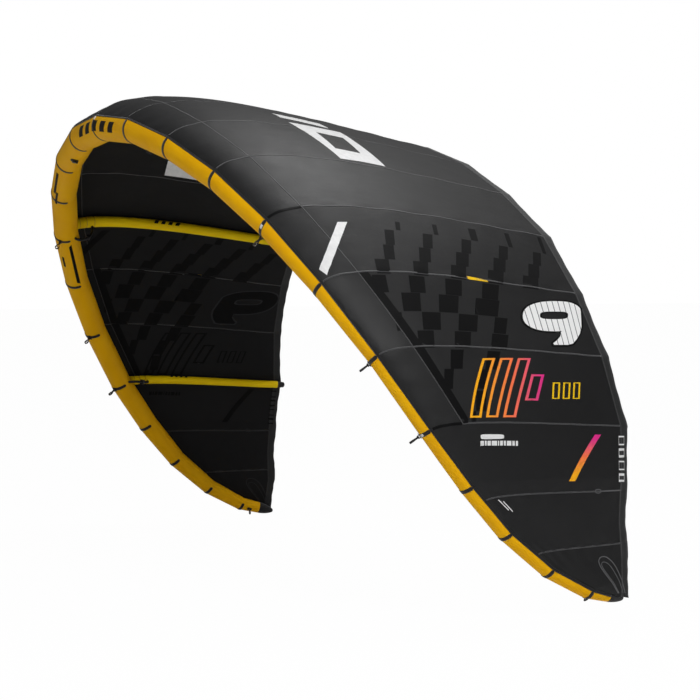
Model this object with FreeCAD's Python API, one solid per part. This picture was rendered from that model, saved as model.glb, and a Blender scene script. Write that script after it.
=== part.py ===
import FreeCAD, Part
import os, math

# Leading-edge-inflatable traction kite, nominal size 9 (flat canopy area of about 9 square metres).
# Millimetres. +Z up. +X towards the right wing tip, +Y towards the trailing edge.
# Origin: centre of the leading-edge tube on the symmetry plane.
V = FreeCAD.Vector
PI = math.pi

# ---------------------------------------------------------------- driving dimensions
# stations 0..12: leading-edge seams from the centre seam to the end of the inflated tube
LE_CENTRE = [  # tube centre line of the right wing
    (0.0, 0.0, 0.0), (394.0, 13.8, -34.5), (776.6, 63.5, -132.8), (1129.7, 145.4, -286.1),
    (1438.5, 255.6, -493.9), (1691.1, 395.9, -750.7), (1876.2, 564.8, -1039.0),
    (1974.7, 751.8, -1344.1), (2003.5, 923.4, -1583.5), (2005.9, 1099.3, -1791.2),
    (2004.0, 1300.6, -1961.8), (2000.2, 1497.1, -2068.0), (1986.0, 1600.8, -2093.8)]
LE_RADIUS = [71.5, 69.8, 68.1, 66.3, 64.6, 62.1, 59.6, 57.1, 54.5, 48.6, 42.7, 36.8, 30.9]
TRAILING = [  # trailing-edge point of each station's rib
    (0.0, 1519.6, -57.0), (385.9, 1527.0, -90.7), (761.8, 1555.5, -187.1),
    (1108.8, 1589.2, -339.7), (1416.3, 1634.8, -539.1), (1666.7, 1656.9, -794.9),
    (1844.2, 1687.2, -1067.0), (1941.2, 1726.0, -1365.5), (1968.9, 1711.5, -1585.8),
    (1975.0, 1700.0, -1773.1), (1983.4, 1707.2, -1935.6), (1997.7, 1699.7, -2022.7),
    (2012.0, 1692.2, -2109.8)]
JOIN_ANGLE = [49.1, 49.4, 49.6, 49.8, 50.1, 50.3, 50.6, 62.9, 75.3, 87.7, 100.1, 112.4, 124.8]  # canopy join, degrees above the tube's nose
PROFILE_FRONT = [0.2218, 0.2038, 0.1859, 0.1679, 0.15, 0.132, 0.1141, 0.0961, 0.0782, 0.0602, 0.0423, 0.0243, 0.0064]
PROFILE_REAR = [0.3188, 0.3167, 0.3146, 0.3125, 0.3104, 0.3083, 0.3062, 0.3041, 0.302, 0.2999, 0.2978, 0.2957, 0.2936]
PROFILE_REAR_ANGLE = 5.84

CASING_WALL = 2.0          # woven casing, thickened to a mouldable shell
BLADDER_GAP = 0.8
BLADDER_WALL = 1.5
CANOPY_THICK = 2.0         # ripstop sheet, thickened
CANOPY_LIFT = 2.6          # sheet mid-plane above the tube at the join
PANEL_STATIONS = [0, 1, 2, 3, 4, 5, 6, 7, 8.3, 9.6, 12]
PANEL_GAP = 0.4
PANEL_BILLOW = [7, 7, 7, 6, 6, 5, 5, 4, 3, 3]
TIP_RAISE = 2.0            # extra height over the tube in the last panel
HEM_WIDTH = 45.0
TAPE_WIDTH = 10.0
BAND_WIDTH = 12.0
STRUT_STATIONS = {"centre": 0, "inner": 4, "outer": 7}
STRUT_RADIUS = {"centre": (34.0, 26.0), "inner": (31.0, 23.5), "outer": (25.5, 19.5)}
STRUT_GAP = 4.5
CAP_LENGTH = 43.0
CAP_PROUD = 16.0
HOSE_RADIUS = 7.0
HOSE_REACH = 105.0         # along the strut, from the tube surface
HOSE_GAP = 4.5             # hose end to the strut's skin
HOSE_SEAM = 0.65           # where the hose's mould seam runs, radians round from the strut's side
TIP_WRAP_LENGTH = 90.0
VALVE_STATION, VALVE_ANGLE = 1.45, -74.0
LOOP_STATIONS = [(4.0, -52.0), (6.0, -42.0), (7.0, -26.0)]
LOOP_LENGTH = 34.0
RING_BORE, RING_OUT, RING_THICK = 5.0, 8.0, 4.0
PIN_RADIUS = 2.0
PIN_GAP = 0.05

os.makedirs("parts", exist_ok=True)
NODES = {}


# ---------------------------------------------------------------- helpers
def unit(v):
    w = V(v)
    w.normalize()
    return w


def mix(a, b, w):
    return a * (1 - w) + b * w


def mirrored(shape):
    return shape.mirror(V(0, 0, 0), V(1, 0, 0))


def lerp(table, s):
    i = min(int(s), len(table) - 2)
    w = s - i
    return table[i] * (1 - w) + table[i + 1] * w


L = [V(*p) for p in LE_CENTRE]
T = [V(*p) for p in TRAILING]
N = len(L)


def frame(i):
    """Tube direction t, chordwise c and outward n at station i."""
    before = V(-L[1].x, L[1].y, L[1].z) if i == 0 else L[i - 1]
    after = L[i] * 2 - L[i - 1] if i == N - 1 else L[i + 1]
    t = unit(after - before)
    c = unit(V(0, 1, 0) - t * t.y)
    n = t.cross(c)
    out = V(-t.z, 0, t.x)
    if n.dot(out) < 0:
        n = n * -1
    return t, c, unit(n)


FR = [frame(i) for i in range(N)]


def on_tube(i, angle, radius):
    t, c, n = FR[i]
    a = math.radians(angle)
    return L[i] + (c * -math.cos(a) + n * math.sin(a)) * radius


def tube_frame(s, angle):
    """Centre, direction, outward normal and radius anywhere on the tube."""
    i = min(int(s), N - 2)
    w = s - i
    p = mix(L[i], L[i + 1], w)
    c = unit(mix(FR[i][1], FR[i + 1][1], w))
    n = unit(mix(FR[i][2], FR[i + 1][2], w))
    t = unit(mix(FR[i][0], FR[i + 1][0], w))
    a = math.radians(angle)
    out = unit(c * -math.cos(a) + n * math.sin(a))
    out = unit(out - t * out.dot(t))
    return p, t, out, lerp(LE_RADIUS, s)


def controls(i):
    """Bezier control points of the rib above station i, on the sheet's mid-plane."""
    t, c, n = FR[i]
    a = math.radians(JOIN_ANGLE[i])
    start = on_tube(i, JOIN_ANGLE[i], LE_RADIUS[i] + CANOPY_LIFT)
    run = c * math.sin(a) + n * math.cos(a)
    chord = (T[i] - start).Length
    e = unit(T[i] - start)
    t2 = unit(V(t.x, 0, t.z))
    up = V(-t2.z, 0, t2.x)
    up = unit(up - e * up.dot(e))
    b = math.radians(PROFILE_REAR_ANGLE)
    p1 = start + run * chord * PROFILE_FRONT[i]
    p2 = T[i] + (e * -math.cos(b) + up * math.sin(b)) * chord * PROFILE_REAR[i]
    return start, p1, p2, T[i]


CTRL = [controls(i) for i in range(N)]


def rib(s, u):
    i = min(int(s), N - 2)
    w = s - i

    def at(k):
        a, b, c, d = CTRL[k]
        return a * (1 - u) ** 3 + b * (3 * u * (1 - u) ** 2) + c * (3 * u * u * (1 - u)) + d * u ** 3
    return mix(at(i), at(i + 1), w)


def outward(s, u, ds=0.02, du=0.004):
    a, b = max(s - ds, 0.0), min(s + ds, 12.0)
    p, q = max(u - du, 0.0), min(u + du, 1.0)
    along = rib(b, u) - rib(a, u)
    if along.Length < 1e-9:
        along = V(1, 0, 0)
    chord = rib(s, q) - rib(s, p)
    return unit(along.cross(chord))


def u_before_te(s, dist):
    """Profile parameter a given length before the trailing edge."""
    u, run, last = 1.0, 0.0, rib(s, 1.0)
    while u > 0.3:
        u -= 0.002
        p = rib(s, u)
        run += (p - last).Length
        last = p
        if run >= dist:
            return u
    return u


def spline(points):
    c = Part.BSplineCurve()
    c.interpolate(points)
    return c.toShape()


def patch(rows):
    """Smooth surface through a grid of points."""
    b = Part.BSplineSurface()
    b.interpolate(rows)
    return b


def closed(faces):
    """One solid from faces that share their edges."""
    shell = Part.makeShell(faces)
    shell.sewShape()
    solid = Part.Solid(shell)
    if solid.Volume < 0:
        solid.reverse()
    return solid


def edge_of(b, which):
    u0, u1, v0, v1 = b.bounds()
    return {"u0": b.uIso(u0), "u1": b.uIso(u1), "v0": b.vIso(v0), "v1": b.vIso(v1)}[which].toShape()


def sheet_solid(top, bottom):
    """Thin curved solid between two grids of points."""
    a, b = patch(top), patch(bottom)
    faces = [a.toShape(), b.toShape()]
    for side in ("u0", "u1", "v0", "v1"):
        faces.append(Part.makeRuledSurface(edge_of(a, side), edge_of(b, side)))
    return closed(faces)


def prism_solid(sections):
    """Solid through four-cornered sections, with straight edges between them."""
    faces = []
    for a, b in zip(sections[:-1], sections[1:]):
        for k in range(4):
            m = (k + 1) % 4
            faces.append(Part.makeRuledSurface(Part.makeLine(a[k], a[m]), Part.makeLine(b[k], b[m])))
    for q in (sections[0], sections[-1]):
        faces.append(Part.makeRuledSurface(Part.makeLine(q[0], q[1]), Part.makeLine(q[3], q[2])))
    return closed(faces)


def ring_wire(p, t, c, n, r):
    """Circle as two arcs, both starting at the nose side."""
    a = Part.Arc(p - c * r, p + n * r, p + c * r).toShape()
    b = Part.Arc(p + c * r, p - n * r, p - c * r).toShape()
    return Part.Wire([a, b])


def loop_wire(p, d, x, r, plane=None, count=16):
    """Closed smooth section round p, square to d, or slid along d onto a plane through p."""
    y = d.cross(x)
    pts = []
    for k in range(count):
        a = 2 * PI * k / count
        q = p + (x * math.cos(a) + y * math.sin(a)) * r
        if plane is not None:
            q = q + d * (plane.dot(p - q) / plane.dot(d))
        pts.append(q)
    c = Part.BSplineCurve()
    c.interpolate(pts, PeriodicFlag=True)
    return Part.Wire([c.toShape()])


def loft(wires, ruled=False):
    s = Part.makeLoft(wires, True, ruled)
    if s.ShapeType != "Solid" and len(s.Solids) == 1:
        s = s.Solids[0]
    return s


def cylinder(base, direction, radius, height):
    return Part.makeCylinder(radius, height, base, direction)


def block(centre, x, y, z, dx, dy, dz):
    """Box with its own axes and sizes, centred."""
    m = FreeCAD.Matrix(x.x, y.x, z.x, centre.x, x.y, y.y, z.y, centre.y, x.z, y.z, z.z, centre.z, 0, 0, 0, 1)
    b = Part.makeBox(dx, dy, dz, V(-dx / 2, -dy / 2, -dz / 2))
    b.Placement = FreeCAD.Placement(m)
    return b


def put(name, shapes):
    if not isinstance(shapes, list):
        shapes = [shapes]
    solids = []
    for s in shapes:
        for q in s.Solids:
            if q.Volume < 0:
                q.reverse()
            solids.append(q)
    NODES[name] = solids[0] if len(solids) == 1 else Part.makeCompound(solids)


# ---------------------------------------------------------------- leading-edge tube
def tube_half(offset, first=0.15, before=0.0, after=0.0):
    """Mitred conical segments of the right half; offset is added to the radius."""
    wires = []
    for i in range(N):
        t, c, n = FR[i]
        p = V(L[i])
        if i == 0:
            p = V(first, p.y, p.z)
        wires.append(ring_wire(p, t, c, n, LE_RADIUS[i] + offset))
    if before:
        t, c, n = FR[0]
        wires.insert(0, ring_wire(V(first - before, 0, 0), t, c, n, LE_RADIUS[0] + offset))
    if after:
        t, c, n = FR[-1]
        wires.append(ring_wire(L[-1] + t * after, t, c, n, LE_RADIUS[-1] + offset))
    return loft(wires, True)


casing = tube_half(0.0).cut(tube_half(-CASING_WALL, before=4.0, after=4.0))
put("leading_edge_casing_right", casing)
put("leading_edge_casing_left", mirrored(casing))
SKIN = tube_half(0.4, first=-40.0)                       # casing surface plus clearance
SKIN_BOTH = [SKIN, mirrored(SKIN)]


skin_out = -CASING_WALL - BLADDER_GAP
film = tube_half(skin_out).cut(tube_half(skin_out - BLADDER_WALL, before=4.0, after=4.0))
put("leading_edge_bladder", [film, mirrored(film)])


# sewn bands round the tube at each seam, open at the back
def band(i, first, last, r0, r1, width):
    t, c, n = FR[i]

    def at(angle, r):
        return on_tube(i, angle, r)
    mid = (first + last) / 2
    face = Part.Face(Part.Wire([
        Part.Arc(at(first, r1), at(mid, r1), at(last, r1)).toShape(),
        Part.makeLine(at(last, r1), at(last, r0)),
        Part.Arc(at(last, r0), at(mid, r0), at(first, r0)).toShape(),
        Part.makeLine(at(first, r0), at(first, r1))]))
    s = face.extrude(t * width)
    s.translate(t * (-width / 2))
    return s


def tape_angle(i):
    """Angle that the join tape covers in front of the canopy edge."""
    return math.degrees(TAPE_WIDTH / LE_RADIUS[i])


bands = []
for i in range(0, N - 1):
    last = JOIN_ANGLE[i] - tape_angle(i) - 4
    b = band(i, -100, last, LE_RADIUS[i] + 1.0, LE_RADIUS[i] + 1.9, BAND_WIDTH)
    bands.append(b)
    if i:
        bands.append(mirrored(b))
put("seam_bands", bands)

# black tape in front of the canopy's leading edge
wires = []
for i in range(N):
    a1 = JOIN_ANGLE[i] - 1.5
    a0 = a1 - tape_angle(i)
    r0, r1 = LE_RADIUS[i] + 0.7, LE_RADIUS[i] + 2.2
    off = V(0.2, 0, 0) if i == 0 else V(0, 0, 0)
    am = (a0 + a1) / 2
    wires.append(Part.Wire([
        Part.Arc(on_tube(i, a0, r1) + off, on_tube(i, am, r1) + off, on_tube(i, a1, r1) + off).toShape(),
        Part.makeLine(on_tube(i, a1, r1) + off, on_tube(i, a1, r0) + off),
        Part.Arc(on_tube(i, a1, r0) + off, on_tube(i, am, r0) + off, on_tube(i, a0, r0) + off).toShape(),
        Part.makeLine(on_tube(i, a0, r0) + off, on_tube(i, a0, r1) + off)]))
tape = loft(wires, True)
put("join_tape_right", tape)
put("join_tape_left", mirrored(tape))

# wing-tip wraps over the tube's ends
t, c, n = FR[-1]
wrap = []
for d, k in ((0.5, 1.0), (30, 0.93), (55, 0.8), (75, 0.6), (TIP_WRAP_LENGTH - 3, 0.36), (TIP_WRAP_LENGTH, 0.2)):
    wrap.append(ring_wire(L[-1] + t * d, t, c, n, LE_RADIUS[-1] * k))
tip = loft(wrap, False)
put("tip_wrap_right", tip)
put("tip_wrap_left", mirrored(tip))

# ---------------------------------------------------------------- canopy panels and hem
NU = 12
U_HEM = {}
HEM_STATIONS = [0, 1, 2, 3, 4, 5, 6, 7, 8, 8.3, 9, 9.6, 10, 11, 12]
for s in HEM_STATIONS:
    U_HEM[s] = u_before_te(s, HEM_WIDTH)


def sheet_rows(s, u0, u1, half, lift=0.0, count=NU, raise_front=0.0):
    top, bottom = [], []
    for k in range(count + 1):
        f = k / count
        u = u0 + (u1 - u0) * (f ** 1.25)
        n = outward(s, u)
        p = rib(s, u) + n * (lift * math.sin(PI * min(max(f, 0), 1)) ** 0.7 + raise_front * (1 - f) ** 2)
        top.append(p + n * half)
        bottom.append(p - n * half)
    return top, bottom


for k in range(len(PANEL_STATIONS) - 1):
    a, b = PANEL_STATIONS[k], PANEL_STATIONS[k + 1]
    step = (rib(b, 0.5) - rib(a, 0.5)).Length / (b - a)
    eps = PANEL_GAP / step
    sections = []
    last_panel = b - a > 2
    marks = [q / 12 for q in range(13)] if last_panel else [0, 0.25, 0.5, 0.75, 1]
    for w in marks:
        s = (a + eps) * (1 - w) + (b - eps) * w
        u1 = u_before_te(s, HEM_WIDTH) - (0.008 if last_panel else 0.0012)
        lift = PANEL_BILLOW[k] * 4 * w * (1 - w)
        sections.append(sheet_rows(s, 0.0, u1, CANOPY_THICK / 2, lift, raise_front=TIP_RAISE if last_panel else 0.0))
    panel = sheet_solid([q[0] for q in sections], [q[1] for q in sections])
    put("canopy_panel_right_%02d" % (k + 1), panel)
    put("canopy_panel_left_%02d" % (k + 1), mirrored(panel))

sections = []
for s in HEM_STATIONS:
    u = U_HEM[s]
    ss = s + (0.0006 if s == 0 else 0)
    p0, p1 = rib(ss, u + 0.0006), rib(ss, 1.0)
    n0, n1 = outward(ss, u), outward(ss, 1.0)
    h = CANOPY_THICK / 2 + 0.3
    sections.append([p0 + n0 * h, p1 + n1 * h, p1 - n1 * h, p0 - n0 * h])
hem = prism_solid(sections)
put("trailing_hem_right", hem)
put("trailing_hem_left", mirrored(hem))

# ---------------------------------------------------------------- struts
bladders, caps, hoses, clamps = [], [], [], []
FLIP = {"left": True, "right": False}


def both(name, shape, station):
    """A node on the right wing and its mirror, or one on the centre line."""
    if station == 0:
        put(name + "_centre", shape)
    else:
        put(name + "_right", shape)
        put(name + "_left", mirrored(shape))


LEVERS = {}
for key, st in STRUT_STATIONS.items():
    r_front, r_back = STRUT_RADIUS[key]

    def radius(u):
        return r_front + (r_back - r_front) * u

    def axis_point(u):
        n = outward(st, u) if st else unit(V(0, outward(0.0, u).y, outward(0.0, u).z))
        return rib(st, u) - n * (radius(u) + CANOPY_THICK / 2 + STRUT_GAP)

    def heading(u):
        return unit(axis_point(min(u + 0.01, 1.0)) - axis_point(max(u - 0.01, 0.0)))

    side = FR[st][0]

    def section(u, dr):
        h = heading(u)
        return loop_wire(axis_point(u), h, unit(side - h * side.dot(h)), radius(u) + dr)

    u_end = u_before_te(st, CAP_LENGTH - CAP_PROUD)
    # front end: a mitre that lies against the leading-edge tube
    ut = 0.0
    while True:
        v = axis_point(ut) - L[st]
        v = v - side * v.dot(side)
        if v.Length > LE_RADIUS[st] + 1.2 and ut > 0.02:
            break
        ut += 0.001
    o_front = unit(v)
    h_front = heading(ut + 0.02)
    x_front = unit(side - h_front * side.dot(h_front))
    tilt = radius(ut) * math.tan(math.acos(min(1.0, o_front.dot(h_front))))
    u_first = ut
    while (axis_point(u_first) - axis_point(ut)).Length < tilt + 12:
        u_first += 0.001
    us = [u_first + (u_end - u_first) * (k / 12) for k in range(13)]

    def tube(dr, ahead=0.0, behind=0.0):
        p = axis_point(ut) - h_front * ahead
        rows = [loop_wire(p, h_front, x_front, radius(ut) + dr, o_front)]
        rows += [section(u, dr) for u in us]
        if behind:
            rows.append(loop_wire(axis_point(u_end) + heading(u_end) * behind, heading(u_end), unit(side - heading(u_end) * side.dot(heading(u_end))), radius(u_end) + dr))
        return loft(rows, True)
    keep = tube(0.0).cut(tube(-CASING_WALL, 3.0, 3.0)).Solids[0]
    print(key, "front", round(ut, 3), "tilt", round(math.degrees(math.acos(o_front.dot(h_front))), 1))
    label = "strut_casing" if st == 0 else "strut_casing_" + key
    both(label, keep, st)
    # the bladder starts behind the mitre
    u0 = u_first + 0.004
    ub = [u0] + us[1:-1] + [u_end - 0.006]
    dr = -CASING_WALL - BLADDER_GAP
    body = loft([section(u, dr) for u in ub], True)
    hollow = loft([section(u, dr - BLADDER_WALL) for u in [ub[0] - 0.003] + ub[1:-1] + [ub[-1] + 0.003]], True)
    b = body.cut(hollow)
    bladders += [b] if st == 0 else [b, mirrored(b)]
    # ribbed cap on the strut's rear end
    p, h = axis_point(u_end) + heading(u_end) * 0.4, heading(u_end)
    x = unit(side - h * side.dot(h))
    r = radius(u_end)
    rows = [(0, 0), (0, r + 0.2), (3, r + 0.2)]
    step = (CAP_LENGTH - 9) / 5
    for k in range(5):
        y = 3 + k * step
        rows += [(y + step * 0.3, r - 1.4 - 0.9 * k), (y + step * 0.7, r - 0.2 - 0.9 * k), (y + step, r - 0.4 - 0.9 * k)]
    rows += [(CAP_LENGTH - 3, r - 8), (CAP_LENGTH, r - 12), (CAP_LENGTH, 0)]
    poly = Part.makePolygon([p + h * a + x * q for a, q in rows] + [p])
    cap = Part.Face(poly).revolve(p, h, 360)
    caps += [cap] if st == 0 else [cap, mirrored(cap)]
    # air hose from the leading-edge tube into the strut, on its underside
    tt, tc, tn = FR[st]
    run = 0.0
    u1 = u0
    while (axis_point(u1) - axis_point(u0)).Length < HOSE_REACH - 40:
        u1 += 0.002
    up = outward(st, u1)
    down = unit(up) * -1 if st else unit(V(0, -up.y, -up.z))
    q = axis_point(u1) + down * (radius(u1) + HOSE_GAP)
    ang = -128.0
    o = unit(tc * -math.cos(math.radians(ang)) + tn * math.sin(math.radians(ang)))
    a0 = L[st] + o * (LE_RADIUS[st] + 1.0)
    reach = (q - a0).Length
    b1, b2 = a0 + o * reach * 0.42, q + down * reach * 0.42
    pts = []
    for k in range(13):
        f = k / 12
        pts.append(a0 * (1 - f) ** 3 + b1 * (3 * f * (1 - f) ** 2) + b2 * (3 * f * f * (1 - f)) + q * f ** 3)
    rings = []
    for k, pt in enumerate(pts):
        d = o if k == 0 else down * -1 if k == 12 else unit(pts[k + 1] - pts[k - 1])
        x = unit(side - d * side.dot(d))
        x = x * math.cos(HOSE_SEAM) + d.cross(x) * math.sin(HOSE_SEAM)
        rings.append(loop_wire(pt, d, x, HOSE_RADIUS))
    hose = loft(rings)
    hoses += [hose] if st == 0 else [hose, mirrored(hose)]
    # pinch clamp: a channel under the hose with two ears and a pin, and a hinged jaw on top
    mid = pts[6]
    d = unit(pts[7] - pts[5])
    far = unit(down - d * down.dot(d))         # away from the strut
    w = d.cross(far)                            # across the hose, along the leading edge
    R1 = HOSE_RADIUS + 0.5
    base = block(mid - far * (R1 + 2.5), d, w, far, 14, 2 * R1 + 8, 5)
    wall = block(mid + w * (R1 + 2.0) - far * 1.5, d, w, far, 14, 4, 2 * R1 + 1)
    hook = block(mid + w * (R1 + 1.0) + far * (R1 - 2.2), d, w, far, 14, 2.0, 1.2)
    pin_at = mid - w * (R1 + 4.0) + far * 1.0
    ears = []
    for e in (-1, 1):
        ear = block(pin_at - far * 4.5 + d * (e * 5.75), d, w, far, 2.5, 7.0, 12.0)
        ears.append(ear)
        ears.append(cylinder(pin_at + d * (e * 5.75 - 1.25), d, 3.5, 2.5))
    pin = cylinder(pin_at - d * 7.0, d, PIN_RADIUS, 14.0)
    frame_part = base.fuse([wall] + ears + [pin]).removeSplitter()
    knuckle = cylinder(pin_at - d * 4.2, d, 3.4, 8.4)
    arm = block(mid + far * (R1 + 2.6) - w * 1.5, d, w, far, 8.4, 2 * R1 + 4.0, 2.6)
    link = block(pin_at + far * 5.2 + w * 0.2, d, w, far, 8.4, 3.0, 9.4)
    tab = block(mid + far * (R1 + 2.6) + w * (R1 + 4.5), d, w, far, 8.4, 9.0, 2.6)
    jaw = arm.fuse([link, tab, knuckle]).removeSplitter()
    jaw = jaw.cut(cylinder(pin_at - d * 8.0, d, PIN_RADIUS + PIN_GAP, 16.0))
    clamps += [frame_part] if st == 0 else [frame_part, mirrored(frame_part)]
    both("clamp_jaw_" + key if st else "clamp_jaw", jaw, st)
    LEVERS[key] = (pin_at, d, far)

put("strut_bladders", bladders)
put("strut_end_caps", caps)
put("inflation_hoses", hoses)
put("clamp_frames", clamps)

# ---------------------------------------------------------------- valves on the leading edge
p, t, out, r = tube_frame(VALVE_STATION, VALVE_ANGLE)
w = out.cross(t)
flange = cylinder(p + out * (r - 6), out, 20, 9.0).cut(SKIN).cut(cylinder(p, out, 10.05, r + 30))
barrel = cylinder(p + out * (r + 0.7), out, 9.95, 8.0)
barrel = barrel.fuse(cylinder(p + out * (r + 3.3), out, 13.0, 2.2))
barrel = barrel.cut(cylinder(p, out, 5.5, r + 40))
hp = p + out * (r + 10.2) - w * 15.5                    # cap hinge
ears = []
for e in (-1, 1):
    ears.append(block(hp - out * 3.0 + t * (e * 4.6) + w * 0.8, t, w, out, 2.0, 6.0, 7.2))
    ears.append(cylinder(hp + t * (e * 4.6 - 1.0), t, 2.6, 2.0))
lug = block(hp - out * 5.6 + w * 2.2, t, w, out, 11.2, 7.6, 2.2)
pin = cylinder(hp - t * 5.6, t, 1.2, 11.2)
barrel = barrel.fuse([lug] + ears + [pin]).removeSplitter()
barrel = barrel.cut(cylinder(p, out, 5.5, r + 40)).cut(SKIN)
top = r + 8.9
lid = cylinder(p + out * top, out, 11.0, 2.6)
plug = Part.makeCone(4.2, 5.3, 4.2, p + out * (top - 4.0), out)
arm = block(p + out * (top + 1.3) - w * 12.0, t, w, out, 6.8, 6.0, 2.6)
knuckle = cylinder(hp - t * 3.4, t, 2.5, 6.8)
lid = lid.fuse([plug, arm, knuckle]).removeSplitter()
lid = lid.cut(cylinder(hp - t * 6.0, t, 1.2 + PIN_GAP, 12.0))
valve = {"flange": flange, "barrel": barrel, "cap": lid}
for side, name in ((True, "inflate_valve"), (False, "deflate_valve")):
    for key, s in valve.items():
        put(name + "_" + key, mirrored(s) if side else s)
VALVE_AXIS = (hp, t)

# ---------------------------------------------------------------- line loops on the leading edge
tabs = []
LOOPS = []
for k, (s, ang) in enumerate(LOOP_STATIONS + [(11.45, -40.0)]):
    p, t, out, r = tube_frame(s, ang)
    w = out.cross(t)
    foot = r + 2.4
    plate = block(p + out * (foot + 1.0), t, w, out, 26, 16, 2.0)
    hp = p + out * (foot + 8.0)
    sides = []
    for e in (-1, 1):
        sides.append(block(hp - out * 3.5 + t * (e * 6.25), t, w, out, 2.5, 7.0, 7.0))
        sides.append(cylinder(hp + t * (e * 6.25 - 1.25), t, 3.5, 2.5))
    bar = cylinder(hp - t * 7.5, t, PIN_RADIUS, 15.0)
    tab = plate.fuse(sides + [bar]).removeSplitter()
    tabs += [tab, mirrored(tab)]
    last = k == len(LOOP_STATIONS)
    eye = cylinder(hp - t * 4.4, t, 4.0, 8.8)
    web = block(hp + out * (LOOP_LENGTH / 2), t, w, out, 8.0, 3.0, LOOP_LENGTH - 4)
    ring_at = hp + out * (LOOP_LENGTH + (4.0 if last else 0.0))
    eye2 = cylinder(ring_at - t * 2.6, t, RING_OUT + 3.0, 5.2)
    loop = eye.fuse([web] if last else [web, eye2]).removeSplitter()
    loop = loop.cut(cylinder(hp - t * 9, t, PIN_RADIUS + PIN_GAP, 18))
    if last:
        knot = cylinder(hp + out * (LOOP_LENGTH - 1) - t * 4.0, t, 6.0, 8.0)
        loop = loop.fuse(knot).removeSplitter()
        shapes = [loop]
    else:
        loop = loop.cut(cylinder(ring_at - t * 6, t, RING_OUT + 0.05, 12))
        ring = cylinder(ring_at - t * (RING_THICK / 2), t, RING_OUT, RING_THICK)
        ring = ring.cut(cylinder(ring_at - t * 6, t, RING_BORE, 12))
        shapes = [loop, ring]
    name = "tip_loop" if last else "line_loop_%d" % (k + 1)
    put(name + "_right", shapes)
    put(name + "_left", [mirrored(q) for q in shapes])
    LOOPS.append((name, hp, t, ring_at))
put("loop_tabs", tabs)

# ---------------------------------------------------------------- export
for name, shape in NODES.items():
    ok = shape.isValid()
    vols = [q.Volume for q in shape.Solids]
    if not ok or min(vols) <= 0:
        print("CHECK", name, "valid", ok, "volumes", ["%.1f" % v for v in vols])
    shape.exportStep("parts/%s.step" % name)


def show(label, p, d):
    print("%s pos_m [%.6f, %.6f, %.6f] axis [%.6f, %.6f, %.6f]" % (label, p.x / 1000, p.y / 1000, p.z / 1000, d.x, d.y, d.z))


for key, (p, d, far) in LEVERS.items():
    show("clamp " + key, p, d)
show("valve right", *VALVE_AXIS)
for name, hp, t, ring_at in LOOPS:
    show(name, hp, t)
    show(name + " ring", ring_at, t)
box = Part.makeCompound(list(NODES.values())).BoundBox
print("nodes", len(NODES), "box", [round(q, 1) for q in (box.XMin, box.YMin, box.ZMin, box.XMax, box.YMax, box.ZMax)])
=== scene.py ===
import bpy, bmesh, math
import numpy as np
from mathutils import Vector, Matrix, geometry


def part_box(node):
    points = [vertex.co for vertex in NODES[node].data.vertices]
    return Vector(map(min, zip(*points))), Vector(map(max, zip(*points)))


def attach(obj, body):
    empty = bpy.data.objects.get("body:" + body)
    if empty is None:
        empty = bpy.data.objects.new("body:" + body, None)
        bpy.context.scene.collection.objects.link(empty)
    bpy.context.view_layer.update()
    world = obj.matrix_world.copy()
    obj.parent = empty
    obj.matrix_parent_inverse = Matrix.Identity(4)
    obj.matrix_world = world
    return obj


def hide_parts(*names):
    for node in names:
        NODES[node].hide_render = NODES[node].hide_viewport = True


# Inflatable traction kite. Metres, in the CAD frame: +X right wing tip, +Y trailing edge, +Z up.
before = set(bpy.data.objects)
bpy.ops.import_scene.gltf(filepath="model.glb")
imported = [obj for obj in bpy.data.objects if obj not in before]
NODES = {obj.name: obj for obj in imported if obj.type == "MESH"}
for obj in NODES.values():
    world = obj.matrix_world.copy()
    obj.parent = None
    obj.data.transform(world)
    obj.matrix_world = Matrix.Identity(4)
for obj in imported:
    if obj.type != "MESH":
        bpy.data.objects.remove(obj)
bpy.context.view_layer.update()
rng = np.random.default_rng(7)

# ---- design tables: the same driving dimensions as the CAD, in metres
LEC = np.array([(0.0, 0.0, 0.0), (394.0, 13.8, -34.5), (776.6, 63.5, -132.8), (1129.7, 145.4, -286.1),
    (1438.5, 255.6, -493.9), (1691.1, 395.9, -750.7), (1876.2, 564.8, -1039.0),
    (1974.7, 751.8, -1344.1), (2003.5, 923.4, -1583.5), (2005.9, 1099.3, -1791.2),
    (2004.0, 1300.6, -1961.8), (2000.2, 1497.1, -2068.0), (1986.0, 1600.8, -2093.8)]) / 1000
LER = np.array([71.5, 69.8, 68.1, 66.3, 64.6, 62.1, 59.6, 57.1, 54.5, 48.6, 42.7, 36.8, 30.9]) / 1000
TEP = np.array([(0.0, 1519.6, -57.0), (385.9, 1527.0, -90.7), (761.8, 1555.5, -187.1),
    (1108.8, 1589.2, -339.7), (1416.3, 1634.8, -539.1), (1666.7, 1656.9, -794.9),
    (1844.2, 1687.2, -1067.0), (1941.2, 1726.0, -1365.5), (1968.9, 1711.5, -1585.8),
    (1975.0, 1700.0, -1773.1), (1983.4, 1707.2, -1935.6), (1997.7, 1699.7, -2022.7),
    (2012.0, 1692.2, -2109.8)]) / 1000
JOIN = np.radians([49.1, 49.4, 49.6, 49.8, 50.1, 50.3, 50.6, 62.9, 75.3, 87.7, 100.1, 112.4, 124.8])
KF = np.array([0.2218, 0.2038, 0.1859, 0.1679, 0.15, 0.132, 0.1141, 0.0961, 0.0782, 0.0602, 0.0423, 0.0243, 0.0064])
KR = np.array([0.3188, 0.3167, 0.3146, 0.3125, 0.3104, 0.3083, 0.3062, 0.3041, 0.302, 0.2999, 0.2978, 0.2957, 0.2936])
KRA = math.radians(5.84)
LIFT = 0.0026
PANELS = [0, 1, 2, 3, 4, 5, 6, 7, 8.3, 9.6, 12]
BILLOW = [7, 7, 7, 6, 6, 5, 5, 4, 3, 3]
NST = len(LEC)


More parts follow.
